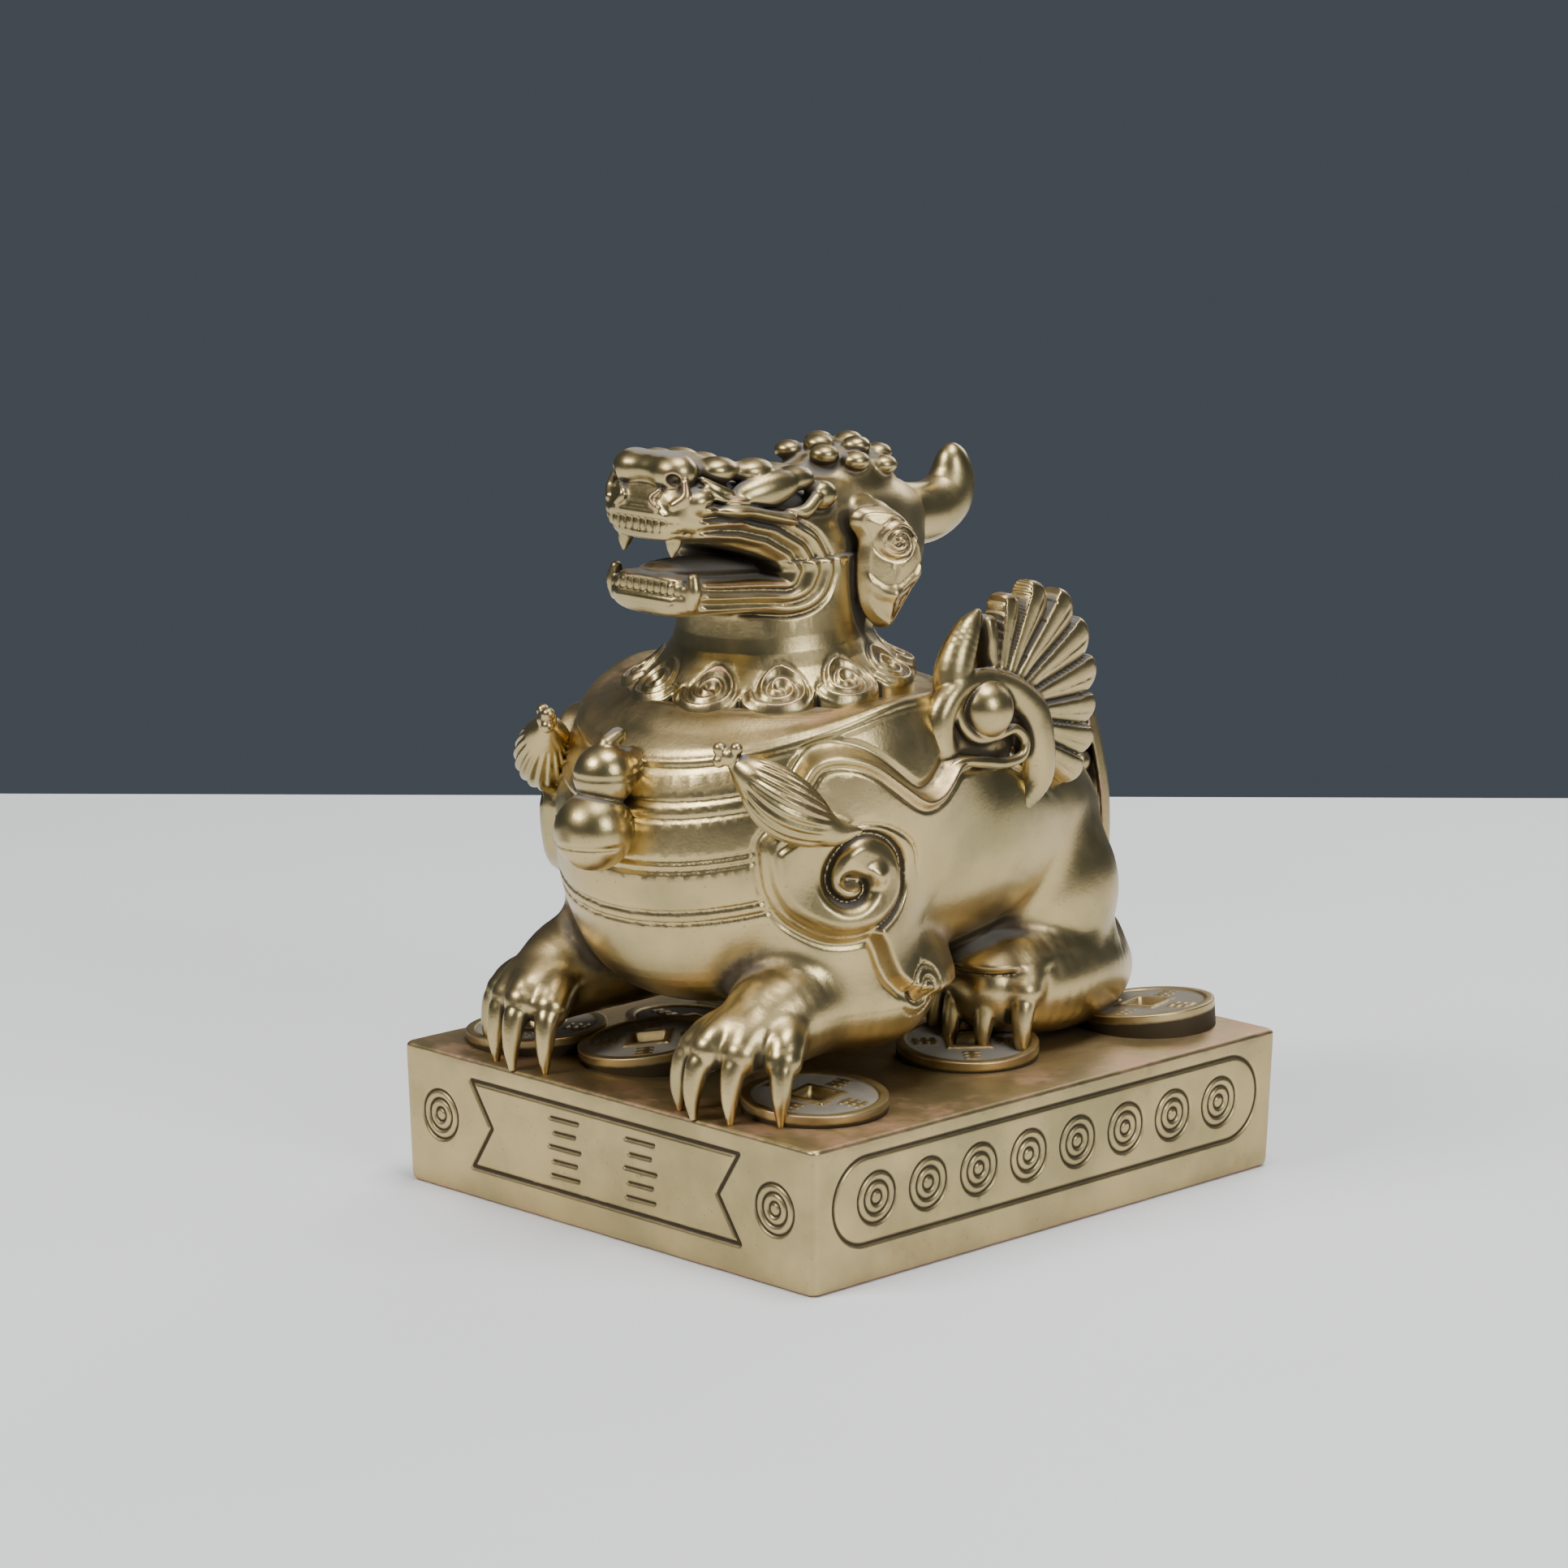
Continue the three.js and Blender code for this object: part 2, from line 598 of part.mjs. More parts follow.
// Fan of feathers as one body: radial sections, long and thick along each shaft, short and thin between two.
function fanBody() {
  const { hub, feathers, root, thickness, valley, lean, tipStart } = wing;
  const half = (feathers[0][0] - feathers[1][0]) / 2;
  const radial = (angle, reach, plump) => {
    const [y, z] = [Math.cos(rad(angle)), Math.sin(rad(angle))];
    const at = (r, out) => vec(hub[0] - lean * r + out, hub[1] + r * y, hub[2] + r * z);
    const [thick, thin] = thickness.map((t) => t * plump);
    const tip = reach * tipStart;
    return [at(root, -thick), at(root, thick), at(tip, thin), at(reach, 0), at(tip, -thin)];
  };
  const sections = [];
  feathers.forEach(([angle, reach], k) => {
    if (k === 0) sections.push(radial(angle + half, reach * valley.outer, valley.thickness));
    sections.push(radial(angle, reach, 1));
    const [nextAngle, nextReach] = feathers[k + 1] ?? [angle - 2 * half, reach * valley.outer];
    const low = Math.min(reach, nextReach) * valley.reach;
    sections.push(radial((angle + nextAngle) / 2, low, valley.thickness));
  });
  return skin(sections);
}

function wingParts() {
  const { ball, ballRadius, scroll, scrollRadius } = wing;
  return [
    fanBody(),
    blob(ball, Array(3).fill(ballRadius), { round: 10, tall: 7 }),
    limb(scroll, scrollRadius, { sides: 4, steps: 1, flat: 1.1 }),
  ];
}

// Four toes spread over the coins, each with a knuckle and a long claw.
function paw({ claws, heel, knuckle }) {
  const { height } = plinth;
  return claws.map(([x, y]) => {
    const from = vec(heel[0], heel[1], 0);
    const at = (t, z) => from.clone().lerp(vec(x, y, 0), t).setZ(z).toArray();
    const route = [at(0.3, knuckle - 3), at(0.7, knuckle - 2.4), at(0.94, height + 7), at(1, height - 0.5)];
    return limb(route, toe.radius, { sides: 4, steps: 1 });
  });
}

function legs() {
  const front = limb(foreleg.route, foreleg.radius, { sides: 9, steps: 1 });
  const rear = limb(hindleg.route, hindleg.radius, { sides: 9, steps: 1 });
  return bothSides([
    front, rear,
    blob(hindleg.thigh, hindleg.thighRadii, { round: 9 }),
    blob(foreleg.elbowCurl, foreleg.curlRadii),
    blob(foreleg.shoulder, foreleg.shoulderRadii),
    ...paw(forePaw), ...paw(hindPaw),
  ]);
}

// Cupped leaf standing behind the rump, with the stems that it grows from.
function tailParts() {
  const { sides, thickness, edge, stations, stems } = tail;
  const leaf = skin(stations.map(([y, z, half, cup]) => {
    const front = [];
    const back = [];
    for (let i = 0; i <= sides / 2; i++) {
      const u = (i / (sides / 2)) * 2 - 1;
      const deep = (thickness / 2) * (1 - u * u) + edge;
      front.push(vec(u * half, y - cup * u * u - deep, z));
      back.unshift(vec(u * half, y - cup * u * u + deep, z));
    }
    return [...front, ...back];
  }));
  return [leaf, ...stems.map(({ route, radius }) => limb(route, radius, { sides: 6, steps: 1 }))];
}

function figureBody() {
  const neckBody = skin(neck.rings.map((one) => levelRing(one, neck.sides)));
  const paired = bothSides([earBody(), shoulderScrollBody(), shoulderBody(), ...wingParts()]);
  const shapes = [
    chestBody(), trunkBody(), neckBody, collarBody(), hornBody(),
    ...faceParts(), ...paired, ...ornaments(), ...legs(), ...tailParts(),
  ];
  const ground = solid(plinthSlab(clearance)).add(join(coins.map((one) => coinBody(one, clearance))));
  return join(shapes).add(headBody()).subtract(ground);
}

function mesh(name, body, colour, roughness) {
  const material = new THREE.MeshStandardMaterial({ color: colour, roughness, metalness: 1 });
  const made = new THREE.Mesh(geometryOf(body), material);
  made.name = name;
  return made;
}

const part = new THREE.Group();
part.add(mesh("pixiu", figureBody(), brass.figure, 0.36), mesh("plinth", plinthBody(), brass.plinth, 0.45));
export default part;
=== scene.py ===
import math
import bpy
import numpy as np
from mathutils import Euler, Matrix, Vector


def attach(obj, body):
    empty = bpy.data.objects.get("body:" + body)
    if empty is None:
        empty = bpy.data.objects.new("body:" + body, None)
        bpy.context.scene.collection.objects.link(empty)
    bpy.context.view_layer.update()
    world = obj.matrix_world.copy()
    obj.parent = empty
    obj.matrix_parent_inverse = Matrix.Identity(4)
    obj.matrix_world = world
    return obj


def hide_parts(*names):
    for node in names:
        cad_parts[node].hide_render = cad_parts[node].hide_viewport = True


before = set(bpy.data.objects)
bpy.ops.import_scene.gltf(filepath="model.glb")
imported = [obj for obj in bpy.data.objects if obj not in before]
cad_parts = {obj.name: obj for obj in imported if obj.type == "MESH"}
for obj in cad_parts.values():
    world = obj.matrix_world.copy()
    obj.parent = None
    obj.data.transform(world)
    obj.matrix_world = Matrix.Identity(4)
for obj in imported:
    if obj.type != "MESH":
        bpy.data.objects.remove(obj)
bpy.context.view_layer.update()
print("frame loaded")

# All shapes below are worked out in millimetres and written to Blender in metres.
mm = 0.001

# Camera, floor and light

camera = {
    "azimuth": 45.1, "elevation": 11.63, "roll": 0.167, "distance": 896.4,
    "aimSide": -10.23, "aimHeight": 68.86, "lens": 120.0, "sensor": 36.0,
}


def addCamera():
    a, e, r = (math.radians(camera[k]) for k in ("azimuth", "elevation", "roll"))
    back = Vector((math.sin(a) * math.cos(e), -math.cos(a) * math.cos(e), math.sin(e)))
    level = Vector((math.cos(a), math.sin(a), 0))
    up = back.cross(level)
    right = level * math.cos(r) + up * math.sin(r)
    top = up * math.cos(r) - level * math.sin(r)
    aim = level * camera["aimSide"] + Vector((0, 0, camera["aimHeight"]))
    spot = (aim + back * camera["distance"]) * mm
    data = bpy.data.cameras.new("camera")
    data.lens = camera["lens"]
    data.sensor_width = camera["sensor"]
    data.sensor_fit = "HORIZONTAL"
    data.clip_start = 0.05
    data.clip_end = 20
    holder = bpy.data.objects.new("camera", data)
    holder.matrix_world = Matrix((
        (right.x, top.x, back.x, spot.x),
        (right.y, top.y, back.y, spot.y),
        (right.z, top.z, back.z, spot.z),
        (0, 0, 0, 1),
    ))
    bpy.context.scene.collection.objects.link(holder)
    bpy.context.scene.camera = holder


# Shader graphs


class Value:
    # One output of a node. Arithmetic on it adds Math nodes.
    def __init__(self, graph, socket):
        self.graph = graph
        self.socket = socket

    def maths(self, operation, *values):
        inputs = dict(enumerate(values))
        return self.graph.node("ShaderNodeMath", {"operation": operation}, inputs)

    def __add__(self, other):
        return self.maths("ADD", self, other)

    def __radd__(self, other):
        return self.maths("ADD", other, self)

    def __sub__(self, other):
        return self.maths("SUBTRACT", self, other)

    def __rsub__(self, other):
        return self.maths("SUBTRACT", other, self)

    def __mul__(self, other):
        return self.maths("MULTIPLY", self, other)

    def __rmul__(self, other):
        return self.maths("MULTIPLY", other, self)

    def __pow__(self, other):
        return self.maths("POWER", self, other)

    def ramp(self, low, high, first=0.0, last=1.0):
        settings = {"interpolation_type": "SMOOTHSTEP"}
        inputs = {"Value": self, "From Min": low, "From Max": high, "To Min": first, "To Max": last}
        return self.graph.node("ShaderNodeMapRange", settings, inputs)


class Graph:
    def __init__(self, name):
        self.material = bpy.data.materials.new(name)
        self.material.use_nodes = True
        self.tree = self.material.node_tree
        self.tree.nodes.clear()

    def node(self, kind, settings=None, inputs=None, output=0):
        made = self.tree.nodes.new(kind)
        for key, value in (settings or {}).items():
            setattr(made, key, value)
        for key, value in (inputs or {}).items():
            if isinstance(value, Value):
                self.tree.links.new(value.socket, made.inputs[key])
            else:
                made.inputs[key].default_value = value
        return Value(self, made.outputs[output])

    def attribute(self, name):
        return self.node("ShaderNodeAttribute", {"attribute_name": name}, output="Fac")

    def place(self):
        return self.node("ShaderNodeTexCoord", output="Object")

    def noise(self, size, detail=3.0, roughness=0.55, stretch=None):
        place = self.place()
        if stretch:
            settings = {"operation": "MULTIPLY"}
            place = self.node("ShaderNodeVectorMath", settings, {0: place, 1: stretch})
        inputs = {"Vector": place, "Scale": 1 / (size * mm), "Detail": detail, "Roughness": roughness}
        return self.node("ShaderNodeTexNoise", inputs=inputs)

    def blend(self, factor, a, b, mode="MIX"):
        settings = {"data_type": "RGBA", "blend_type": mode}
        colours = {6: a, 7: b}
        for key, value in colours.items():
            if not isinstance(value, Value):
                colours[key] = (*value, 1)
        return self.node("ShaderNodeMix", settings, {0: factor, **colours}, output=2)

    def finish(self, **sockets):
        shader = self.node("ShaderNodeBsdfPrincipled", inputs=sockets)
        out = self.tree.nodes.new("ShaderNodeOutputMaterial")
        self.tree.links.new(shader.socket, out.inputs["Surface"])
        return self.material


agedBrass = {
    "bright": (0.60, 0.465, 0.225),
    "olive": (0.40, 0.325, 0.155),
    "brown": (0.215, 0.145, 0.078),
    "copper": (0.58, 0.36, 0.22),
    "dark": (0.04, 0.029, 0.018),
    "dust": (0.22, 0.205, 0.18),
}


def brassMaterial(name, wear, dusty, polish):
    g = Graph(name)
    hollow = g.attribute("hollow")
    edge = g.attribute("edge")
    up = g.node("ShaderNodeSeparateXYZ", inputs={0: g.node("ShaderNodeNewGeometry", output="Normal")}, output=2)
    broad = g.noise(26, 4)
    patches = g.noise(9, 5, 0.62)
    fine = g.noise(1.6, 4, 0.6)
    specks = g.noise(0.55, 2, 0.5)
    colour = g.blend(broad.ramp(0.35, 0.66), agedBrass["bright"], agedBrass["olive"])
    stain = (patches * 0.7 + up.ramp(0.1, 0.95) * 0.34 + fine * 0.2).ramp(0.62 - wear * 0.2, 1.0)
    colour = g.blend(stain * 0.72, colour, agedBrass["brown"])
    copper = edge.ramp(0.25, 0.85) * patches.ramp(0.42, 0.62)
    colour = g.blend(copper * 0.75, colour, agedBrass["copper"])
    colour = g.blend(specks.ramp(0.66, 0.76) * 0.5, colour, agedBrass["brown"])
    # Darkens towards agedBrass dark where the hollow attribute is high. This is patina in grooves and recesses, and
    # also painted shade where that attribute was raised for shade: inside the mouth, in the coin holes and under the
    # coins.
    deep = (hollow + fine * 0.24 - 0.12).ramp(0.28, 0.78)
    colour = g.blend(deep * 0.93, colour, agedBrass["dark"])
    settled = up.ramp(0.45, 0.95) * (hollow * 1.1 + patches * 0.9 + dusty).ramp(0.72, 1.25)
    colour = g.blend(settled * 0.85, colour, agedBrass["dust"])
    rough = polish + stain * 0.16 + patches.ramp(0.4, 0.7) * 0.07 + deep * 0.3 + settled * 0.4
    metal = 1 - settled * 0.75 - deep * 0.35
    height = fine * 0.5 + specks * 0.35 + patches * 0.6
    bump = g.node(
        "ShaderNodeBump", inputs={"Strength": 0.16 + wear * 0.14, "Distance": 0.00025, "Height": height}
    )
    return g.finish(**{
        "Base Color": colour, "Roughness": rough, "Metallic": metal, "Normal": bump, "IOR": 1.5,
    })


studio = {
    "floor": (0.84, 0.85, 0.87),
    "wall": (0.062, 0.073, 0.088),
    "floorFar": 0.3206,
    "floorNear": 1.6,
    "floorHalf": 1.8,
}
# Soft boxes: place in metres, size, power and colour.
softBoxes = [
    ("key", (-0.25, -0.85, 0.95), (0.45, 0.35), 10.0, (1.0, 0.98, 0.95)),
    ("fill", (1.0, -0.1, 0.6), (0.4, 0.5), 5.0, (0.95, 0.97, 1.0)),
    ("top", (0.15, 0.05, 1.15), (0.55, 0.4), 12.0, (1.0, 1.0, 1.0)),
    ("rear", (-0.3, 0.9, 0.5), (0.6, 0.4), 3.0, (1.0, 0.98, 0.95)),
]


def addStudio():
    a = math.radians(camera["azimuth"])
    away = Vector((-math.sin(a), math.cos(a), 0))
    side = Vector((math.cos(a), math.sin(a), 0))
    far, near, half = studio["floorFar"], -studio["floorNear"], studio["floorHalf"]
    corners = [away * far - side * half, away * near - side * half, away * near + side * half, away * far + side * half]
    mesh = bpy.data.meshes.new("floor")
    mesh.from_pydata([tuple(c) for c in corners], [], [(0, 1, 2, 3)])
    floor = bpy.data.objects.new("floor", mesh)
    bpy.context.scene.collection.objects.link(floor)
    g = Graph("paleFloor")
    tone = g.noise(180, 2).ramp(0.3, 0.7)
    shade = g.blend(tone, studio["floor"], tuple(c * 0.965 for c in studio["floor"]))
    mesh.materials.append(g.finish(**{"Base Color": shade, "Roughness": 0.62}))
    for name, place, size, power, colour in softBoxes:
        data = bpy.data.lights.new(name, "AREA")
        data.shape = "RECTANGLE"
        data.size, data.size_y = size
        data.energy = power
        data.color = colour
        lamp = bpy.data.objects.new(name, data)
        lamp.location = place
        aim = Vector((0, 0, 0.06)) - Vector(place)
        lamp.rotation_euler = aim.to_track_quat("-Z", "Y").to_euler()
        bpy.context.scene.collection.objects.link(lamp)
    world = bpy.data.worlds.new("studio")
    world.use_nodes = True
    world.node_tree.nodes["Background"].inputs["Color"].default_value = (*studio["wall"], 1)
    world.node_tree.nodes["Background"].inputs["Strength"].default_value = 1.0
    bpy.context.scene.world = world


addCamera()
addStudio()
print("camera, floor and lights set")

# Sculpting tools: a block of distance samples that shapes are pressed onto and carved from


def smoothLine(points, perSpan=6):
    p = np.asarray(points, float)
    p = np.vstack([2 * p[0] - p[1], p, 2 * p[-1] - p[-2]])
    t = np.linspace(0, 1, perSpan, endpoint=False)[:, None]
    spans = [
        0.5 * (2 * b + (c - a) * t + (2 * a - 5 * b + 4 * c - d) * t**2 + (3 * b - a - 3 * c + d) * t**3)
        for a, b, c, d in zip(p, p[1:], p[2:], p[3:])
    ]
    return np.vstack(spans + [p[-2:-1]])


def softMin(a, b, blend):
    if blend <= 0:
        return np.minimum(a, b)
    h = np.maximum(blend - np.abs(a - b), 0)
    return np.minimum(a, b) - h * h / (4 * blend)


def softMax(a, b, blend):
    return -softMin(-a, -b, blend)


def ease(value, low, high):
    t = np.clip((value - low) / (high - low), 0, 1)
    return t * t * (3 - 2 * t)


def hump(distance, width):
    # A round ridge: 1 on the line, 0 at width from it.
    t = np.clip(np.abs(distance) / width, 0, 1)
    return (1 - t * t) ** 2


class Chart:
    # A flat drawing of heights over two coordinates.
    def __init__(self, low, high, step=0.2):
        self.low = low
        self.step = step
        counts = [int(math.ceil((h - l) / step)) + 1 for l, h in zip(low, high)]
        self.u = (low[0] + step * np.arange(counts[0]))[:, None]
        self.v = (low[1] + step * np.arange(counts[1]))[None, :]
        self.height = np.zeros(counts, np.float32)

    def line(self, points, smooth=6):
        # Distance to an open line, and how far along it the nearest point is.
        path = smoothLine(points, smooth) if smooth else np.asarray(points, float)
        best = np.full(self.height.shape, 1e9)
        along = np.zeros(self.height.shape)
        for k, (a, b) in enumerate(zip(path, path[1:])):
            d = b - a
            t = np.clip(((self.u - a[0]) * d[0] + (self.v - a[1]) * d[1]) / (d @ d + 1e-9), 0, 1)
            gap = (self.u - a[0] - t * d[0]) ** 2 + (self.v - a[1] - t * d[1]) ** 2
            closer = gap < best
            best = np.where(closer, gap, best)
            along = np.where(closer, k + t, along)
        return np.sqrt(best), along / (len(path) - 1)

    def region(self, points, smooth=6):
        # Signed distance to a closed outline, negative inside.
        ring = smoothLine([*points, points[0]], smooth) if smooth else np.asarray([*points, points[0]], float)
        edge, _ = self.line(ring, 0)
        inside = np.zeros(self.height.shape, bool)
        for a, b in zip(ring, ring[1:]):
            spans = (a[1] > self.v) != (b[1] > self.v)
            crossing = a[0] + (self.v - a[1]) / (b[1] - a[1] + 1e-12) * (b[0] - a[0])
            inside ^= spans & (self.u < crossing)
        return np.where(inside, -edge, edge)

    def at(self, u, v, values=None):
        values = self.height if values is None else values
        fu = np.clip((u - self.low[0]) / self.step, 0, values.shape[0] - 1.001)
        fv = np.clip((v - self.low[1]) / self.step, 0, values.shape[1] - 1.001)
        iu = fu.astype(np.int32)
        iv = fv.astype(np.int32)
        fu = (fu - iu).astype(np.float32)
        fv = (fv - iv).astype(np.float32)
        near = values[iu, iv] * (1 - fu) + values[iu + 1, iv] * fu
        far = values[iu, iv + 1] * (1 - fu) + values[iu + 1, iv + 1] * fu
        return near * (1 - fv) + far * fv


class Clay:
    # halved: only x above zero is worked, and the skin is mirrored.
    def __init__(self, low, high, step, halved=False):
        self.step = step
        self.halved = halved
        low = np.array(low, float)
        if halved:
            low[0] = -step / 2
        counts = np.ceil((np.array(high) - low) / step).astype(int) + 1
        self.low = low
        self.axes = [(low[i] + step * np.arange(counts[i])).astype(np.float32) for i in range(3)]
        self.d = np.full(counts, 9.0, np.float32)

    def window(self, low, high):
        cut = []
        for i in range(3):
            first = int(np.clip(math.floor((low[i] - self.low[i]) / self.step), 0, self.d.shape[i]))
            last = int(np.clip(math.ceil((high[i] - self.low[i]) / self.step) + 1, first, self.d.shape[i]))
            cut.append(slice(first, last))
        x, y, z = (axis[c] for axis, c in zip(self.axes, cut))
        return tuple(cut), x[:, None, None], y[None, :, None], z[None, None, :]

    def merge(self, cut, new, blend, carve=False):
        old = self.d[cut]
        self.d[cut] = softMax(old, -new, blend) if carve else softMin(old, new, blend)

    def put(self, distance, low, high, blend=1.0, carve=False):
        reach = blend + 3
        cut, x, y, z = self.window(np.array(low) - reach, np.array(high) + reach)
        if self.d[cut].size:
            self.merge(cut, distance(x, y, z).astype(np.float32), blend, carve)

    def raiseBy(self, height, low, high):
        cut, x, y, z = self.window(low, high)
        if self.d[cut].size:
            self.d[cut] -= height(x, y, z).astype(np.float32)

    def blob(self, centre, radii, turn=(0, 0, 0), blend=1.0, carve=False):
        radii = np.broadcast_to(np.array(radii, float), 3)
        m = np.array(Euler([math.radians(t) for t in turn]).to_matrix())
        reach = np.sqrt((m**2) @ (radii**2))

        def distance(x, y, z):
            x, y, z = x - centre[0], y - centre[1], z - centre[2]
            local = [m[0][i] * x + m[1][i] * y + m[2][i] * z for i in range(3)]
            near = np.sqrt(sum((p / r) ** 2 for p, r in zip(local, radii))) + 1e-4
            slope = np.sqrt(sum((p / r**2) ** 2 for p, r in zip(local, radii))) + 1e-5
            return near * (near - 1) / slope

        self.put(distance, np.array(centre) - reach, np.array(centre) + reach, blend, carve)

    def tube(self, route, blend=1.0, thin=(1, 1, 1), carve=False, perSpan=6):
        # A round limb along a smooth line of (x, y, z, radius), thinned along the axes.
        line = smoothLine(route, perSpan)
        scale = np.array(thin, float)
        reach = blend + 3
        radius = np.maximum(line[:, 3], 0.05)
        low = (line[:, :3] - radius[:, None] * scale).min(0) - reach
        high = (line[:, :3] + radius[:, None] * scale).max(0) + reach
        cut, x, y, z = self.window(low, high)
        if not self.d[cut].size:
            return
        new = np.full(self.d[cut].shape, 9.0, np.float32)
        for k in range(len(line) - 1):
            a, b = line[k, :3], line[k + 1, :3]
            ra, rb = radius[k], radius[k + 1]
            around = max(ra, rb) * scale + reach
            part, *_ = self.window(np.minimum(a, b) - around, np.maximum(a, b) + around)
            part = [slice(max(q.start, c.start), max(min(q.stop, c.stop), c.start)) for q, c in zip(part, cut)]
            px, py, pz = np.ix_(*(axis[q] for axis, q in zip(self.axes, part)))
            inner = tuple(slice(q.start - c.start, max(q.stop - c.start, 0)) for q, c in zip(part, cut))
            p = [(px - a[0]) / scale[0], (py - a[1]) / scale[1], (pz - a[2]) / scale[2]]
            ab = (b - a) / scale
            t = (p[0] * ab[0] + p[1] * ab[1] + p[2] * ab[2]) / (ab @ ab + 1e-9)
            t = np.clip(t, 0, 1)
            gap = sum((p[i] - t * ab[i]) ** 2 for i in range(3))
            new[inner] = np.minimum(new[inner], (np.sqrt(gap) - ra - t * (rb - ra)) * scale.min())
        self.merge(cut, new, blend, carve)

    def sample(self, points, values=None):
        values = self.d if values is None else values
        f = (points - self.low) / self.step
        f = np.clip(f, 0, np.array(values.shape) - 1.001)
        i = f.astype(np.int32)
        f = (f - i).astype(np.float32)
        total = 0
        for corner in np.ndindex(2, 2, 2):
            weight = 1
            for axis in range(3):
                weight = weight * (f[:, axis] if corner[axis] else 1 - f[:, axis])
            total = total + weight * values[i[:, 0] + corner[0], i[:, 1] + corner[1], i[:, 2] + corner[2]]
        return total

    def slope(self, points, reach):
        # Gradient of the distance at points, mirrored for the worked half.
        out = np.zeros(points.shape)
        side = np.sign(points[:, 0]) if self.halved else np.ones(len(points))
        folded = points.copy()
        if self.halved:
            folded[:, 0] = np.abs(folded[:, 0])
        for axis in range(3):
            offset = np.zeros(3)
            offset[axis] = reach
            ahead, behind = folded + offset, folded - offset
            if self.halved:
                behind[:, 0] = np.abs(behind[:, 0])
            out[:, axis] = (self.sample(ahead) - self.sample(behind)) / (2 * reach)
        if self.halved:
            out[:, 0] *= side
        return out

    def skin(self):
        # Vertices where the surface passes between samples, joined by quads.
        d = self.d
        if self.halved:
            d[0] = d[1]
        solid = d < 0
        count = np.zeros(np.array(d.shape) - 1, np.int8)
        for c in np.ndindex(2, 2, 2):
            count += solid[c[0]:d.shape[0] - 1 + c[0], c[1]:d.shape[1] - 1 + c[1], c[2]:d.shape[2] - 1 + c[2]]
        mixed = (count > 0) & (count < 8)
        cells = np.argwhere(mixed)
        ids = np.full(mixed.shape, -1, np.int64)
        ids[mixed] = np.arange(len(cells))
        total = np.zeros((len(cells), 3))
        hits = np.zeros(len(cells))
        for axis in range(3):
            for c in np.ndindex(2, 2):
                start = np.insert(np.array(c), axis, 0)
                end = np.insert(np.array(c), axis, 1)
                a = d[tuple((cells + start).T)]
                b = d[tuple((cells + end).T)]
                cross = (a < 0) != (b < 0)
                t = np.where(cross, a / np.where(cross, a - b, 1), 0)
                total += np.where(cross[:, None], start + t[:, None] * (end - start), 0)
                hits += cross
        points = self.low + (cells + total / hits[:, None]) * self.step
        if self.halved:
            points[cells[:, 0] == 0, 0] = 0
        faces = []
        for axis in range(3):
            u, v = (axis + 1) % 3, (axis + 2) % 3
            ahead = [slice(None)] * 3
            behind = [slice(None)] * 3
            ahead[axis], behind[axis] = slice(1, None), slice(None, -1)
            change = solid[tuple(behind)] != solid[tuple(ahead)]
            at = np.argwhere(change)
            at = at[(at[:, u] > 0) & (at[:, v] > 0)]
            at = at[(at[:, u] < d.shape[u] - 1) & (at[:, v] < d.shape[v] - 1)]
            steps = []
            for du, dv in ((1, 1), (0, 1), (0, 0), (1, 0)):
                cell = at.copy()
                cell[:, u] -= du
                cell[:, v] -= dv
                steps.append(ids[tuple(cell.T)])
            quads = np.stack(steps, 1)
            outward = solid[tuple(at.T)]
            quads[~outward] = quads[~outward][:, ::-1]
            faces.append(quads)
        faces = np.vstack(faces)
        faces = faces[(faces >= 0).all(1)]
        if self.halved:
            points, faces = self.mirror(points, faces)
        for _ in range(2):
            slope = self.slope(points, self.step * 0.5)
            value = self.sample(self.fold(points))
            length = np.maximum((slope**2).sum(1), 0.25)
            shift = np.clip(value / length, -0.4, 0.4)[:, None] * slope
            if self.halved:
                shift[points[:, 0] == 0, 0] = 0
            points = points - shift
        return points, faces

    def fold(self, points):
        if not self.halved:
            return points
        folded = points.copy()
        folded[:, 0] = np.abs(folded[:, 0])
        return folded

    def mirror(self, points, faces):
        twin = np.arange(len(points))
        away = points[:, 0] > 0
        twin[away] = len(points) + np.arange(away.sum())
        others = points[away] * [-1, 1, 1]
        return np.vstack([points, others]), np.vstack([faces, twin[faces][:, ::-1]])


def meshOf(name, points, faces):
    mesh = bpy.data.meshes.new(name)
    mesh.vertices.add(len(points))
    mesh.vertices.foreach_set("co", (points * mm).astype(np.float32).ravel())
    mesh.loops.add(faces.size)
    mesh.loops.foreach_set("vertex_index", faces.astype(np.int32).ravel())
    mesh.polygons.add(len(faces))
    mesh.polygons.foreach_set("loop_start", np.arange(0, faces.size, faces.shape[1], dtype=np.int32))
    mesh.update(calc_edges=True)
    mesh.validate()
    return mesh


def pointsOf(mesh):
    co = np.empty(len(mesh.vertices) * 3, np.float32)
    mesh.vertices.foreach_get("co", co)
    return co.reshape(-1, 3).astype(float) / mm


def thinned(mesh, budget):
    # Merges the triangles that the shape doesn't need, down to the budget.
    mesh.calc_loop_triangles()
    total = len(mesh.loop_triangles)
    if total <= budget:
        return mesh
    holder = bpy.data.objects.new("thinning", mesh)
    bpy.context.scene.collection.objects.link(holder)
    step = holder.modifiers.new("thin", "DECIMATE")
    step.ratio = budget / total
    step.use_collapse_triangulate = True
    graph = bpy.context.evaluated_depsgraph_get()
    lighter = bpy.data.meshes.new_from_object(holder.evaluated_get(graph))
    lighter.name = mesh.name
    bpy.data.objects.remove(holder)
    bpy.data.meshes.remove(mesh)
    return lighter


def addFloat(mesh, name, values):
    layer = mesh.attributes.new(name, "FLOAT", "POINT")
    layer.data.foreach_set("value", np.ascontiguousarray(values, np.float32))


def addPiece(name, mesh, material):
    mesh.materials.append(material)
    piece = bpy.data.objects.new(name, mesh)
    bpy.context.scene.collection.objects.link(piece)
    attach(piece, "root")
    return piece


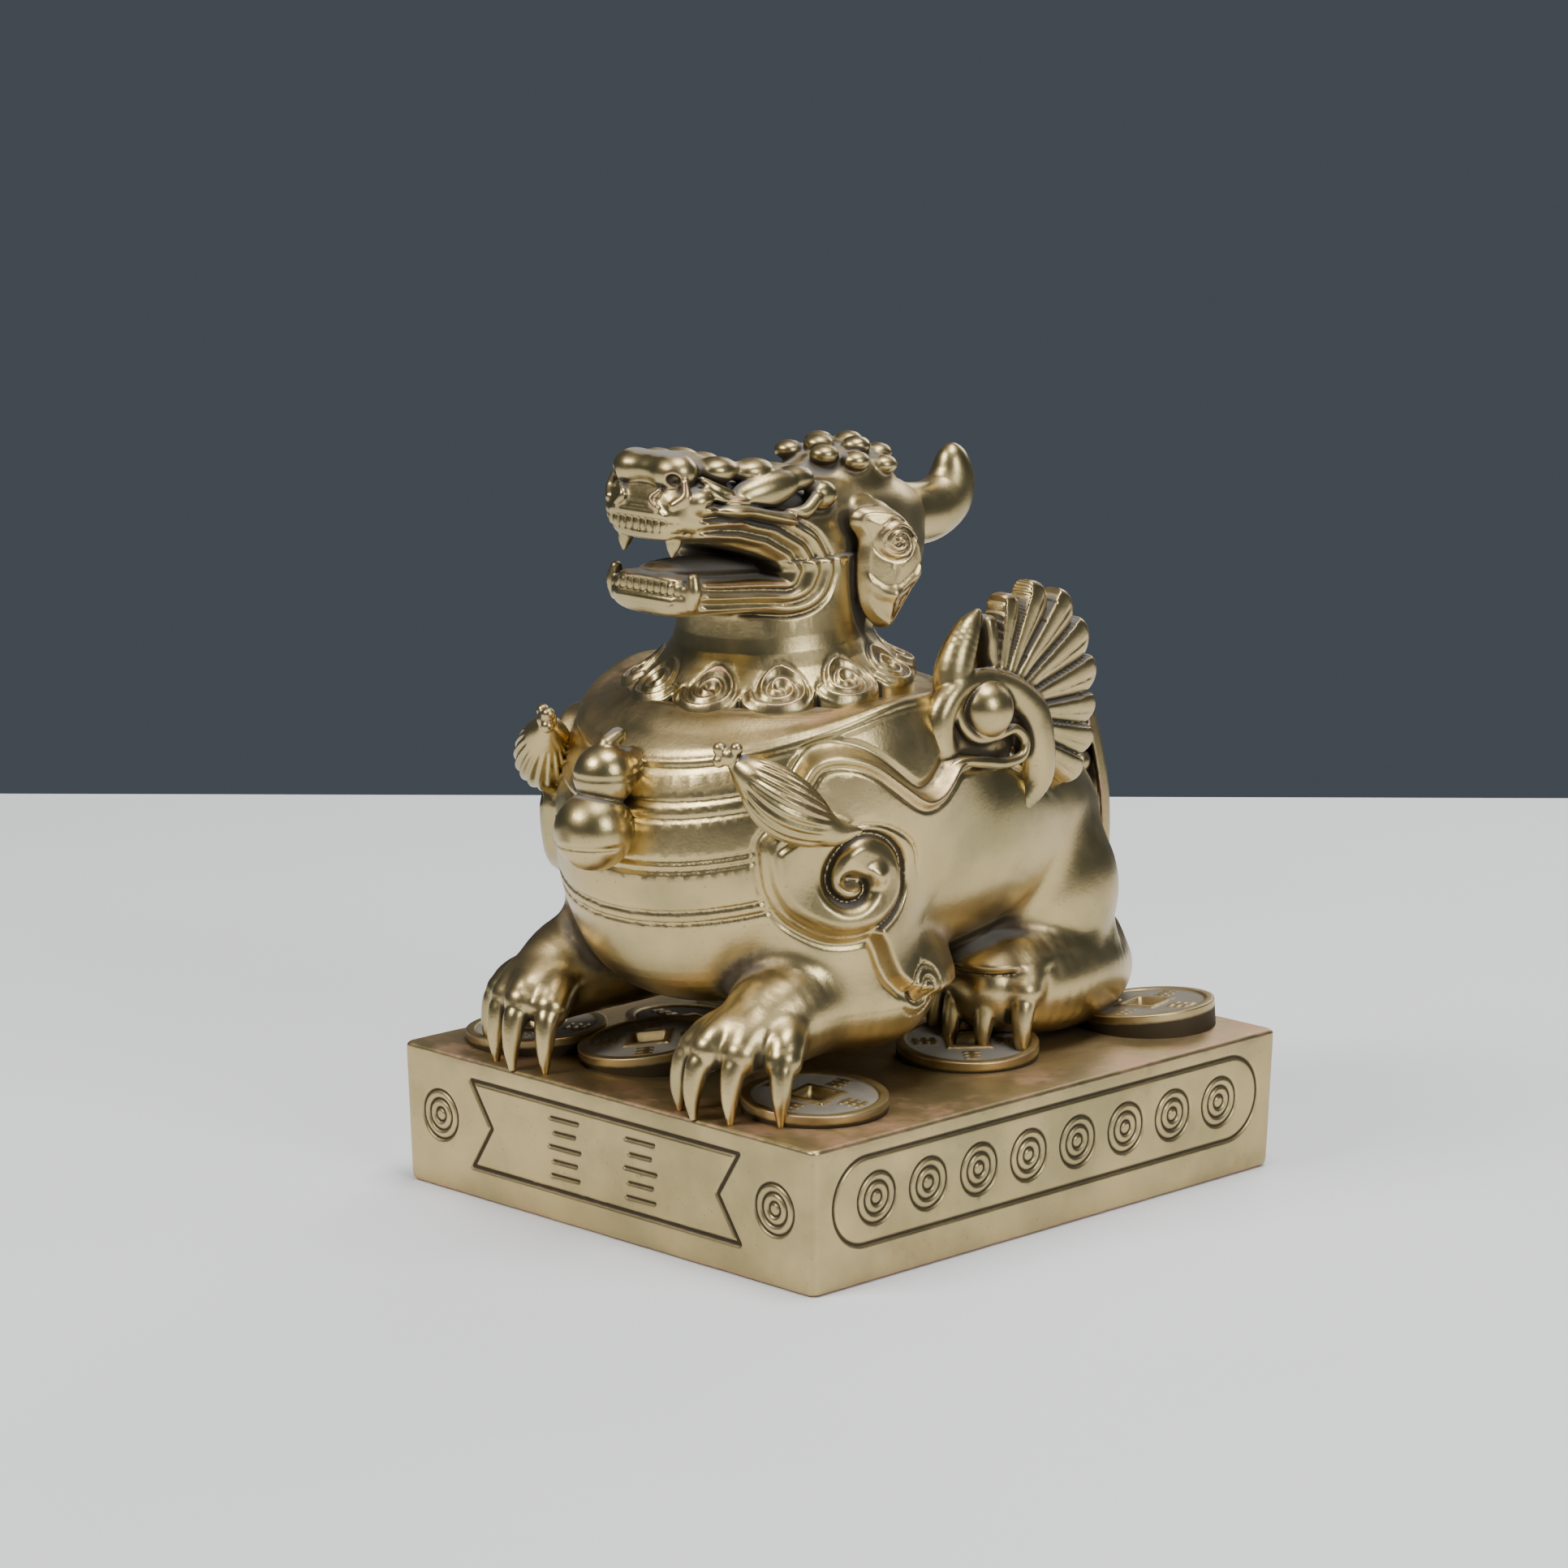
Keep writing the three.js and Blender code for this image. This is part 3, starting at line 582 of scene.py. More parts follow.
def fire(clay, name, material, budget, flip=False, paintedShade=None):
    # Turns a finished block of clay into a metal piece.
    points, faces = clay.skin()
    mesh = thinned(meshOf(name, points, faces), budget)
    points = pointsOf(mesh)
    normal = clay.slope(points, clay.step)
    normal /= np.maximum(np.linalg.norm(normal, axis=1), 1e-6)[:, None]
    open_ = np.zeros(len(points))
    reaches = (0.8, 1.6, 2.8)
    for reach in reaches:
        open_ += np.clip(clay.sample(clay.fold(points + normal * reach)) / reach, 0, 1) / len(reaches)
    inner = clay.sample(clay.fold(points - normal * 0.9)) / -0.9
    hollow = np.clip((1 - open_) * 1.6, 0, 1)
    # An optional mask of painted shade is raised into the hollow attribute, so the material darkens it.
    if paintedShade:
        hollow = np.maximum(hollow, paintedShade(*points.T))
    edge = np.clip((1 - inner) * 2.0, 0, 1)
    addFloat(mesh, "hollow", hollow)
    addFloat(mesh, "edge", edge)
    mesh.polygons.foreach_set("use_smooth", np.ones(len(mesh.polygons), bool))
    mesh.normals_split_custom_set_from_vertices(normal.tolist())
    piece = addPiece(name, mesh, material)
    if flip:
        addTwin(piece, name.replace("left", "right"), material, points, normal, hollow, edge)
    print(name, len(mesh.polygons), "faces")
    return piece


def addTwin(piece, name, material, points, normal, hollow, edge):
    # The same piece on the other side of the figure.
    corners = np.empty(len(piece.data.loops), np.int32)
    piece.data.loops.foreach_get("vertex_index", corners)
    sides = len(corners) // len(piece.data.polygons)
    faces = corners.reshape(-1, sides)[:, ::-1]
    mesh = meshOf(name, points * [-1, 1, 1], faces)
    addFloat(mesh, "hollow", hollow)
    addFloat(mesh, "edge", edge)
    mesh.polygons.foreach_set("use_smooth", np.ones(len(mesh.polygons), bool))
    mesh.normals_split_custom_set_from_vertices((normal * [-1, 1, 1]).tolist())
    addPiece(name, mesh, material)


figureBrass = brassMaterial("figureBrass", 0.5, 0.0, 0.29)
plinthBrass = brassMaterial("plinthBrass", 0.8, 0.1, 0.36)
coarse = 1.0

# Body: barrel chest, trunk, collar, raised shoulders and legs

chest = {
    "axis": -19.0,
    "profile": [(0, 40.4), (9, 41), (20, 43.4), (29, 50.5), (34, 62), (35.4, 73), (34.2, 82), (31.9, 88.6)],
    "cap": [(31.4, 89.9), (30.4, 90.3), (28, 89.5), (24, 89), (0, 89)],
    "hoops": ((82.6, 1.25), (74, 0.8), (65, 1.05)),
    "hoopWidth": 0.5,
    "hoopDepth": 0.42,
}
trunk = [
    (-22, 30.5, 88, 43), (-4, 34, 87.5, 42), (14, 32.5, 86, 42), (30, 28.4, 81.5, 43), (42, 21.5, 73, 46),
    (48, 12.5, 66, 51), (50.4, 0.6, 59.5, 57.5),
]
collar = {
    "lobes": 11, "middle": (0, -18), "tilt": 0.076, "spiral": 21.3, "reach": 25.4,
    "profile": [(15.2, 108), (15.5, 103), (15.8, 100), (16.4, 97.6), (18, 95.3), (20.7, 92.8), (23, 91.5), (26.5, 89.9)],
}
# Outline of the raised shoulder and flank, drawn on the unrolled side of the body.
shoulderEdge = [
    (-43, 71), (-42.4, 75.4), (-40.2, 79.3), (-38.1, 81.8), (-35, 82.7), (-31.1, 82.3), (-27.6, 80.8),
    (-23.9, 77.9), (-20.3, 75.1), (-17.7, 74.1), (-14.6, 74.9), (-12, 76.6), (-9, 78.6), (-4.9, 79), (3, 79),
    (9, 76), (16, 72),
]
shoulder = {"proud": 2.2, "fade": 17.0, "bead": 0.75, "beadWidth": 1.3}
flankScroll = [
    (-43, 71), (-45.9, 68.4), (-45.8, 64.7), (-45, 61), (-42.9, 57.6), (-39.8, 55.4), (-36.1, 53.9),
    (-32.2, 53.6), (-28.1, 54.4), (-24.5, 56.5), (-22.4, 59.3), (-22.1, 62.3), (-23.1, 65.6), (-25.4, 68.3),
    (-28.3, 69.8), (-31.3, 69.9), (-33.9, 68.6), (-35.8, 66.2), (-36.6, 63.2), (-36, 60.7), (-33.9, 59),
    (-31.6, 59.1), (-30.1, 60.5), (-30.3, 62.2),
]
scrollOuterLine = [(-36.8, 68.6), (-33.3, 71), (-29.6, 71.6), (-25.4, 70.6), (-21.2, 67.8), (-19.1, 64), (-18.2, 60)]
foreleg = {
    "route": [
        (24, -12, 42.2, 8), (25.6, -20, 41.4, 10.2), (23.8, -31, 41, 9.6), (24.6, -40, 39.6, 8.6),
        (25.4, -46.5, 37, 6.6),
    ],
    "shoulder": [(24.5, -26, 52), (10, 13, 13)],
    "curl": (33.4, -18.2, 42.6),
}
hindleg = {
    "thigh": [(19.6, 29, 49), (12.2, 15, 16)],
    "route": [(25, 11, 35.6, 7.6), (25.4, 22, 35.4, 9.4), (22.4, 33, 34.8, 9.8), (19.2, 42, 33.6, 7.8), (18, 46.4, 32.4, 3.6)],
}
forePaw = {"heel": (26, -38), "tips": [(16.4, -54.6), (22, -57), (28.4, -54.8), (35.2, -50)], "top": 41.4}
hindPaw = {"heel": (25, 22), "tips": [(15.8, 6.8), (21.6, 4.6), (28, 5.6), (33.8, 9)], "top": 42.6}
ground = 24.6


def tip(out):
    # How far the barrel's level lines drop towards the front and back.
    return 0.1 * out - 0.23 * (np.sqrt(out * out + 36) - 6)


def barrelPlace(x, y, z):
    out = y - chest["axis"]
    ring = np.sqrt(x * x + out * out)
    tilted = np.maximum(np.clip((ring - 23.4) / 7.5, 0, 1), 1 - ease(z, 66, 82))
    return ring, z - tilted * tip(out)


def flankPlace(x, y):
    # Distance round the side of the body: along the barrel's arc in front, along y behind.
    out = np.minimum(y - chest["axis"], 0)
    arc = chest["axis"] - 35.2 * np.arctan2(-out, np.maximum(x, 0.1))
    return np.where(y < chest["axis"], arc, y)


def loftDistance(sections, x, y, z, power=2.3):
    s = np.array(sections, float)
    path = smoothLine(s, 8)
    half, top, bottom = (np.interp(y, path[:, 0], path[:, k]) for k in (1, 2, 3))
    centre = (top + bottom) / 2
    tall = np.maximum((top - bottom) / 2, 0.3)
    half = np.maximum(half, 0.3)
    dz = z - centre
    reach = (np.abs(x / half) ** power + np.abs(dz / tall) ** power) ** (1 / power) + 1e-4
    radial = np.sqrt(x * x + dz * dz) + 1e-4
    ends = np.maximum(y - s[-1, 0], s[0, 0] - y)
    return np.maximum(radial * (1 - 1 / reach) * 0.92, ends)


def buildPaw(clay, paw, lift):
    hx, hy = paw["heel"]
    for k, (tx, ty) in enumerate(paw["tips"]):
        def at(t, z, r):
            return (hx + (tx - hx) * t, hy + (ty - hy) * t, z, r)
        top = paw["top"] - abs(k - 1.3) * 0.7
        clay.tube([at(0.2, top - 4, 3.4), at(0.46, top - 2.6, 3.5), at(0.66, top - 3.0, 3.5), at(0.84, top - 5.4, 3.2)], 1.6)
        clay.blob(at(0.5, top - 1.7, 0)[:3], (2.9, 2.7, 2.4), blend=0.9)
        clay.blob(at(0.76, top - 3.4, 0)[:3], (2.7, 2.6, 2.3), blend=0.9)
        clay.tube([at(0.84, top - 6.6, 2.5), at(0.95, 33.4, 2.1), at(1.01, 29, 1.5), at(1.0, 24.4, 0.55)], 0.35)


def buildBody():
    clay = Clay((0, -64, 24.0), (41, 53, 99), 0.36 * coarse, halved=True)
    lathe = Chart((-2, 34), (46, 100), 0.25)
    outline = [tuple(p) for p in smoothLine(chest["profile"], 6)] + chest["cap"]
    outline = [(-6, chest["profile"][0][1])] + outline + [(-6, chest["cap"][-1][1])]
    barrel = lathe.region(outline, 0).astype(np.float32)

    def barrelDistance(x, y, z):
        ring, level = barrelPlace(x, y, z)
        return lathe.at(ring, level, barrel) * 0.96

    clay.put(barrelDistance, (0, -58, 38), (38, 20, 97), 0)
    clay.put(lambda x, y, z: loftDistance(trunk, x, y, z), (0, -22, 40), (36, 51, 90), 3.5)
    clay.blob(hindleg["thigh"][0], hindleg["thigh"][1], blend=3)
    clay.blob(foreleg["shoulder"][0], foreleg["shoulder"][1], blend=5)
    clay.tube(foreleg["route"], 3.5)
    clay.tube(hindleg["route"], 3.0)
    side = Chart((-54, 40), (54, 100), 0.2)
    shape = shoulderEdge + [(30, 60), (40, 46), (20, 41), (-8, 41), (-22, 44), (-28, 54)]
    plate = side.region([*shape], 4)
    ring = [p for p in flankScroll[:12]] + [(-24, 66), (-30, 70), (-36, 74), (-40, 74)]
    disc = side.region(ring, 4)
    whole = softMin(plate, disc, 0.5) - 1.3
    inside = np.maximum(-whole, 0)
    rise = shoulder["proud"] * ease(inside, -0.2, 1.7) * np.exp(-np.maximum(inside - 2, 0) / shoulder["fade"])
    rise *= ease(side.u + 0 * side.v, 24, 4)
    upper = ease(side.v + 0 * side.u, 60, 72) * ease(side.u + 0 * side.v, 20, 8)
    rise += upper * shoulder["bead"] * hump(inside - 1.2, shoulder["beadWidth"]) * (whole < 0)
    rise -= upper * 0.45 * hump(inside - 2.9, 0.75) * (whole < 0)
    rise -= 0.5 * hump(whole - 0.7, 1.1) * (whole > 0) * ease(side.u + 0 * side.v, 16, 6)
    gap, along = side.line(flankScroll)
    rise -= 1.15 * hump(gap, 1.05) * (gap < 2) * ease(along, 0.0, 0.05)
    rise += 0.9 * ease(gap, 0.4, 2.2) * ease(-disc, -0.5, 2.5) * ease(inside, 0.5, 2)
    outer, along = side.line(scrollOuterLine)
    rise -= 0.55 * hump(outer, 0.6) * ease(along, 0, 0.2) * ease(1 - along, 0, 0.2)
    eye = np.hypot(side.u + 28.4, side.v - 63.2)
    pocket = np.hypot((side.u + 32.8) / 1.2, side.v - 62.6)
    rise += 1.0 * hump(eye, 2.7) - 2.2 * hump(pocket, 2.1)
    side.height[:] = rise

    def sideRelief(x, y, z):
        return side.at(flankPlace(x, y), z) * ease(x, 6, 14)

    clay.raiseBy(sideRelief, (0, -60, 40), (41, 48, 96))
    cover = side.at

    def hoops(x, y, z):
        ring, level = barrelPlace(x, y, z)
        s = flankPlace(x, y)
        bare = ease(cover(s, z, whole.astype(np.float32)), 0.4, 1.4)
        depth = 0
        for height, gap in chest["hoops"]:
            depth = depth + chest["hoopDepth"] * hump(np.abs(level - height) - gap, chest["hoopWidth"])
        depth = depth * ease(-s, 38, 42) + 0.35 * hump(level - 88.6, 0.7) * ease(-s, 8, 20)
        return -depth * bare

    clay.raiseBy(hoops, (0, -60, 48), (40, 10, 94))
    elbow = foreleg["curl"]
    clay.blob(elbow, (2.4, 4.6, 4.6), blend=1.4)

    def elbowCurl(x, y, z):
        r = np.hypot(y - elbow[1], z - elbow[2])
        turn = np.arctan2(z - elbow[2], y - elbow[1]) / (2 * math.pi)
        spiral = np.abs((r / 2.1 + turn) % 1.0 - 0.5)
        return -0.7 * ease(spiral, 0.3, 0.5) * ease(r, 5.4, 4) * ease(r, 0.3, 0.9) * ease(x, 30, 32)

    clay.raiseBy(elbowCurl, (29, -26, 34), (38, -10, 50))
    buildPaw(clay, forePaw, 0)
    buildPaw(clay, hindPaw, 0)
    for k, at in enumerate(((26.5, 30, 41), (25, 36.5, 40), (21.5, 42.5, 38.6))):
        clay.blob(at, (4.6 - k * 0.4, 3.8, 5), blend=1.6)
    clay.tube([(0, 40, 46, 6.2), (0, 47, 43, 5.6), (0, 54, 42.6, 4.6)], 1.5)
    clay.tube([(0, 40, 64, 6), (0, 48, 66, 5.2), (0, 53, 67.4, 4)], 1.5)
    clay.put(lambda x, y, z: z + 0 * x + 0 * y - (ground - 0.2), (0, -80, 10), (50, 60, ground), 0, carve=True)
    return fire(clay, "figureBody", figureBrass, 195000)


body = buildBody()
print("body and legs made")

# Head: skull, jaw, ridged lips, teeth, nose, eyes, crest, ears and horn, on a neck with a collar of scrolls

skull = [
    (-48.4, 6.4, 122.6, 118.2), (-47.4, 8.6, 125, 116.8), (-45.4, 9.7, 126.4, 116.3), (-42, 10.2, 126.8, 114.8),
    (-38, 10.6, 126.4, 113), (-32, 11.6, 125.4, 110), (-25, 13.4, 124.4, 106), (-18, 14.2, 124, 101),
    (-8, 13.4, 124.6, 98), (3, 12, 123.6, 98), (10, 8.8, 121, 103), (13, 6, 118.6, 107), (15, 0.5, 115, 112),
]
jaw = [
    (-46.8, 6.6, 110.2, 105.4), (-45.6, 9.2, 110.8, 104), (-42.5, 10, 110.8, 103.5), (-36, 11, 110.9, 103.2),
    (-27, 12.6, 111, 102.6), (-18, 13.4, 111, 100), (-6, 13, 110, 97),
]
# Side view of the mouth: its opening, and the line that the lip ridges run round.
mouth = {
    "slot": [
        (-27.2, 110.3), (-28, 111.8), (-31.8, 113.5), (-36.5, 115), (-41.1, 115.9), (-45, 116.1), (-56, 116.3),
        (-56, 110.8), (-46, 110.7), (-39, 110), (-32.5, 109.6), (-27.6, 109.2),
    ],
    "core": [
        (-26.6, 110.4), (-28, 112.6), (-31.8, 114.9), (-36.5, 116.2), (-41.1, 116.7), (-45, 116.8), (-56, 116.9),
        (-56, 110.7), (-46, 110.6), (-39, 109.9), (-32.5, 109.5), (-27.2, 109),
    ],
    "ridges": ((0.7, 0.9, 1.0), (2.8, 0.95, 1.1), (4.9, 0.75, 1.1)),
    "squash": 0.68,
}
horn = [
    (0, 2, 115, 7), (0, 9, 114.4, 6.4), (0, 15, 114, 5.6), (0, 20.5, 114.2, 5.3), (0, 24.6, 116, 4.9),
    (0, 26.2, 119, 4.2), (0, 26.3, 121.8, 3.2), (0, 26.2, 123.3, 2.1),
]
ear = {
    "outline": [
        (-14.4, 116.9), (-14.3, 118.5), (-12.4, 120), (-7.7, 119.4), (-4.9, 116.9), (-3.1, 113), (-3.1, 109),
        (-5.3, 104.2), (-8, 99.9), (-9.9, 99.5), (-12.3, 102.5), (-13.2, 106.4), (-13.3, 110.6), (-12.9, 114.2),
    ],
    "side": 18, "turn": 0.47, "thick": 2.5, "spiral": (-8.1, 114.1),
}
faceBumps = [
    ((4.5, -44.4, 127.7), (4.1, 3.7, 3.2), 1.0), ((0, -43.6, 128), (4.2, 4, 2.8), 1.4),
    ((0, -38.6, 127.4), (5, 5, 2.8), 2.0), ((9.2, -43.2, 123.1), (2.3, 2.8, 2.1), 0.9),
    ((10.8, -36.4, 121.9), (2.5, 3.6, 2), 1.1), ((7, -37.4, 127.6), (3.4, 3.8, 2.3), 1.4),
    ((8.8, -30.8, 127), (3.2, 4, 2.2), 1.4), ((11, -23.6, 125.3), (3, 4, 2.2), 1.4),
    ((12.8, -18.8, 122.3), (2.4, 3, 2.4), 1.2), ((0, -2.6, 122.2), (9, 10.6, 6.2), 1.6),
    ((0, -22, 124), (6, 10, 2.6), 2.0),
]
crestCurls = [(4.2, -9.4, 127.2), (7.2, -5, 126), (4.4, -2, 128), (7.4, 1.4, 124.8), (3.6, 4, 126.2), (0, -6.4, 128.3), (0, 0.6, 128.2)]


def spiralLine(centre, size, start, turns, points=40):
    # A curl that winds inwards anticlockwise from the angle start, in degrees.
    t = np.linspace(0, 1, points)
    a = np.radians(start) + t * turns * 2 * math.pi
    r = size * (1 - 0.88 * t)
    return np.stack([centre[0] + r * np.cos(a), centre[1] + r * np.sin(a)], 1)


def addCollar(clay):
    c = collar
    outline = [(-4, 108), *c["profile"], (26.5, 85), (-4, 85)]
    section = Chart((-3, 84), (29, 106), 0.2)
    flare = section.region(outline, 0).astype(np.float32)
    pitch = 2 * math.pi / c["lobes"]
    wide = pitch * 23 / 2
    lobe = Chart((-7.5, -7), (7.5, 7), 0.1)
    gap, along = lobe.line(spiralLine((0.3, 0.3), 5.4, 185, 2.3), 0)
    hem = 4.1 * np.sqrt(np.clip(1 - (lobe.u / (wide + 0.1)) ** 2, 0, 1)) + 0 * lobe.v
    relief = 0.5 * hump(gap, 0.75) * ease(-along, -1.1, -0.9) - 0.28 * hump(gap - 0.95, 0.5)
    lobe.height[:] = relief * ease(lobe.v + 0 * lobe.u, -5.6, -4.6) + 0.35 * hump(lobe.v + hem - 0.5, 0.7) * 0
    rim = hem.astype(np.float32)

    def distance(x, y, z):
        out = -(y - c["middle"][1])
        ring = np.sqrt(x * x + out * out)
        angle = np.arctan2(np.abs(x), out)
        local = (angle / pitch - np.floor(angle / pitch) - 0.5) * pitch * 23
        level = z + c["tilt"] * out
        down = (ring - c["spiral"]) * 1.3
        body = section.at(ring, level, flare)
        body = body - lobe.at(local, -down)
        reach = c["spiral"] + 0.1 + lobe.at(local, 0 * local, rim) * 0.95
        hang = softMax(body, ring - reach, 0.9)
        floor = 87.6 - level + 0 * ring
        return softMax(hang, floor, 0.3)

    clay.put(distance, (0, -45, 85), (26, 9, 107), 1.6)


def addFace(clay):
    face = Chart((-35, 94), (16, 132), 0.13)
    squash = mouth["squash"]
    core = face.region([(y * squash, z) for y, z in mouth["core"]], 0)
    forward = ease(face.u + 0 * face.v, -44.4 * squash, -42.8 * squash)
    relief = 0 * core
    for offset, height, width in mouth["ridges"]:
        relief += height * hump(core - offset, width)
    relief -= 0.5 * hump(core - 6.1, 0.7) * ease(face.v + 0 * face.u, 100, 103)
    face.height[:] = relief * forward

    def faceRelief(x, y, z):
        return face.at(y * squash, z) * ease(x, 5, 8.4)

    clay.raiseBy(faceRelief, (0, -50, 96), (20, 8, 128))
    slot = Chart((-58, 104), (-20, 122), 0.15)
    opening = slot.region(mouth["slot"], 0).astype(np.float32)
    clay.put(lambda x, y, z: slot.at(y, z, opening) + 0 * x, (0, -58, 108), (24, -27, 118), 0.5, carve=True)

    def teeth(x, y, z):
        run = np.abs(x) + 0 * y
        comb = np.abs((run / 1.6) % 1.0 - 0.5)
        front = ease(-y, 43.4, 44.8) * ease(-x, -9, -8.2)
        upper = np.clip(1 - np.abs(z - 119.2) / 1.35, 0, 1)
        lower = np.clip(1 - np.abs(z - 108.8) / 1.35, 0, 1)
        panel = ease(upper, 0.02, 0.25) + ease(lower, 0.02, 0.25)
        crown = ease(upper, 0.12, 0.5) + ease(lower, 0.12, 0.5)
        lips = hump(z - 121.2, 0.8) + hump(z - 117.1, 0.7) + hump(z - 110.7, 0.6) + hump(z - 106.7, 0.8)
        return front * (0.42 * crown * ease(comb, 0.46, 0.3) - 0.55 * panel + 0.3 * lips)

    clay.raiseBy(teeth, (0, -50, 104), (10, -43, 123))
    clay.tube([(5.6, -45.4, 117.6, 1.5), (5.7, -45.7, 116, 1.2), (5.7, -46, 114.2, 0.35)], 0.3)
    clay.tube([(9.2, -44.6, 110.6, 1.0), (9.6, -44.8, 108.4, 1.2), (9.2, -44.8, 106, 0.8)], 0.4)
    clay.tube([(0, -24, 109.4, 5.2), (0, -34, 110.3, 5.4), (0, -41, 110.8, 4.2), (0, -43.8, 111.2, 2.0)], 0.5, thin=(1.35, 1, 0.34))


def buildHead():
    clay = Clay((0, -51, 86), (27.5, 34, 131.2), 0.28 * coarse, halved=True)
    clay.put(lambda x, y, z: loftDistance(skull, x, y, z, 2.7), (0, -49, 96), (15, 16, 129), 0)
    clay.put(lambda x, y, z: loftDistance(jaw, x, y, z, 3.2), (0, -48, 95), (15, -5, 111), 1.2)
    addCollar(clay)
    clay.tube([(0, -14, 99, 13.6), (0, -10.5, 108, 13.2)], 2.5)
    clay.tube(horn, 2.0, thin=(0.92, 1, 1))
    for at, radii, soften in faceBumps:
        clay.blob(at, radii, blend=soften)
    for x, y, z in crestCurls:
        clay.blob((x, y, z), (2.5, 2.5, 1.7), blend=0.8)
    clay.blob((11.2, -30.6, 123.8), (2.9, 7.2, 3.1), (12, 0, -11), 0.4)
    lid = [(9.6, -42, 125.2, 0.6), (11.4, -38.4, 122.6, 0.9), (13.4, -30, 120.3, 1.0), (14.5, -24.6, 120.2, 1.1), (14.3, -21.4, 122, 1.1)]
    clay.tube(lid, 0.5)
    addFace(clay)
    clay.blob((6.9, -47.0, 126.9), (1.1, 1.3, 1.0), blend=0.4, carve=True)
    for route in (
        [(8.4, -45.6, 126.4, 0.6), (8.8, -46, 124.2, 0.9), (7.6, -47.4, 122.8, 0.8)],
        [(4.6, -47.8, 125, 0.5), (3.4, -48.4, 123.6, 0.8), (4.6, -48.6, 122.4, 0.6)],
        [(8.6, -42, 126.6, 0.6), (10, -40, 125.2, 0.8), (10.8, -37.6, 124.2, 0.6)],
    ):
        clay.tube(route, 0.6)
    addEar(clay)

    # Painted shade: the inside of the open mouth is darkened through the hollow attribute, standing in for the shadow
    # under the upper lip.
    def paintedMouthShade(x, y, z):
        inside = ease(-np.abs(x), -9.6, -7) * ease(-y, 23, 26) * ease(z, 108.8, 110.4) * ease(-z, -117.6, -116)
        return inside * ease(y, -46, -40)

    return fire(clay, "headAndCollar", figureBrass, 196000, paintedShade=paintedMouthShade)


def addEar(clay):
    # A drooping leaf turned to the front, with a spiral above and a folded lower half.
    leaf = Chart((-18, 96), (2, 123), 0.12)
    shape = leaf.region(ear["outline"], 5)
    gap, along = leaf.line(spiralLine(ear["spiral"], 3.1, 20, 2.4), 0)
    swell = 0.55 * hump(gap, 0.6) - 0.3 * hump(gap - 0.75, 0.45)
    fold, _ = leaf.line([(-13, 108), (-9.1, 105.2), (-3.4, 109)], 4)
    crease, _ = leaf.line([(-9.1, 105.2), (-9, 100.6)], 4)
    swell += 0.5 * hump(fold, 1.5) + 0.4 * hump(crease, 2) + 0.3 * hump(shape + 0.8, 0.8)
    leaf.height[:] = swell * ease(-shape, 0, 1)
    leafShape = shape.astype(np.float32)

    def earDistance(x, y, z):
        middle = ear["side"] + ear["turn"] * (y + 8)
        edge = leaf.at(y, z, leafShape)
        thick = ear["thick"] * np.sqrt(np.clip(-edge / 4.2, 0.02, 1)) + leaf.at(y, z) * (x > middle)
        return softMax((np.abs(x - middle) * 0.9 - thick), edge, 0.9) * 0.9

    clay.put(earDistance, (11, -15, 98), (24, -1, 121.5), 0.4)
    clay.tube([(12, -8, 117.4, 3.6), (15.5, -8.4, 117.2, 3.1), (17.4, -8.6, 116.6, 2)], 1.0)


head = buildHead()
print("head made")

# Wings: a fan of feathers behind a scroll with a ball in its eye

wing = {
    "hub": (31.0, 2.0, 85.4),
    "feathers": [(87, 16.8), (72, 20.7), (54.5, 24.8), (38, 27.6), (21.5, 28.4), (6, 28.6), (-7, 28.2), (-19, 28.8), (-31, 28.3)],
    "lean": 0.05,
    "ball": (33, -0.6, 86.6),
    "ballRadius": 5.1,
}
wingBand = [
    (32.6, 9, 68.6, 1.6), (33, 12.4, 73.4, 3.0), (33, 12, 79.8, 3.5), (32.8, 10.6, 85, 3.3), (32.6, 6, 89.2, 2.5),
    (32.4, 0, 91.4, 2.0), (32.2, -6, 90.6, 2.2), (31.8, -9.6, 86.8, 2.6), (31.6, -10, 82.4, 2.7), (31.6, -8, 77.6, 2.6),
]
wingLip = [
    (34.6, -12, 77, 0.8), (35, -8, 78.8, 0.85), (35.2, -3, 78.2, 0.9), (35.4, 2, 77.4, 0.9), (35.5, 6.2, 78, 0.9),
    (35.3, 7.2, 80.6, 0.9), (35.1, 4.8, 82.8, 0.9), (34.8, 1, 82.2, 0.9), (34.4, -3.4, 82.2, 0.9),
    (33.8, -6.2, 84.4, 0.9), (33.2, -7, 87.4, 0.9), (32.6, -4.6, 90, 0.8),
]


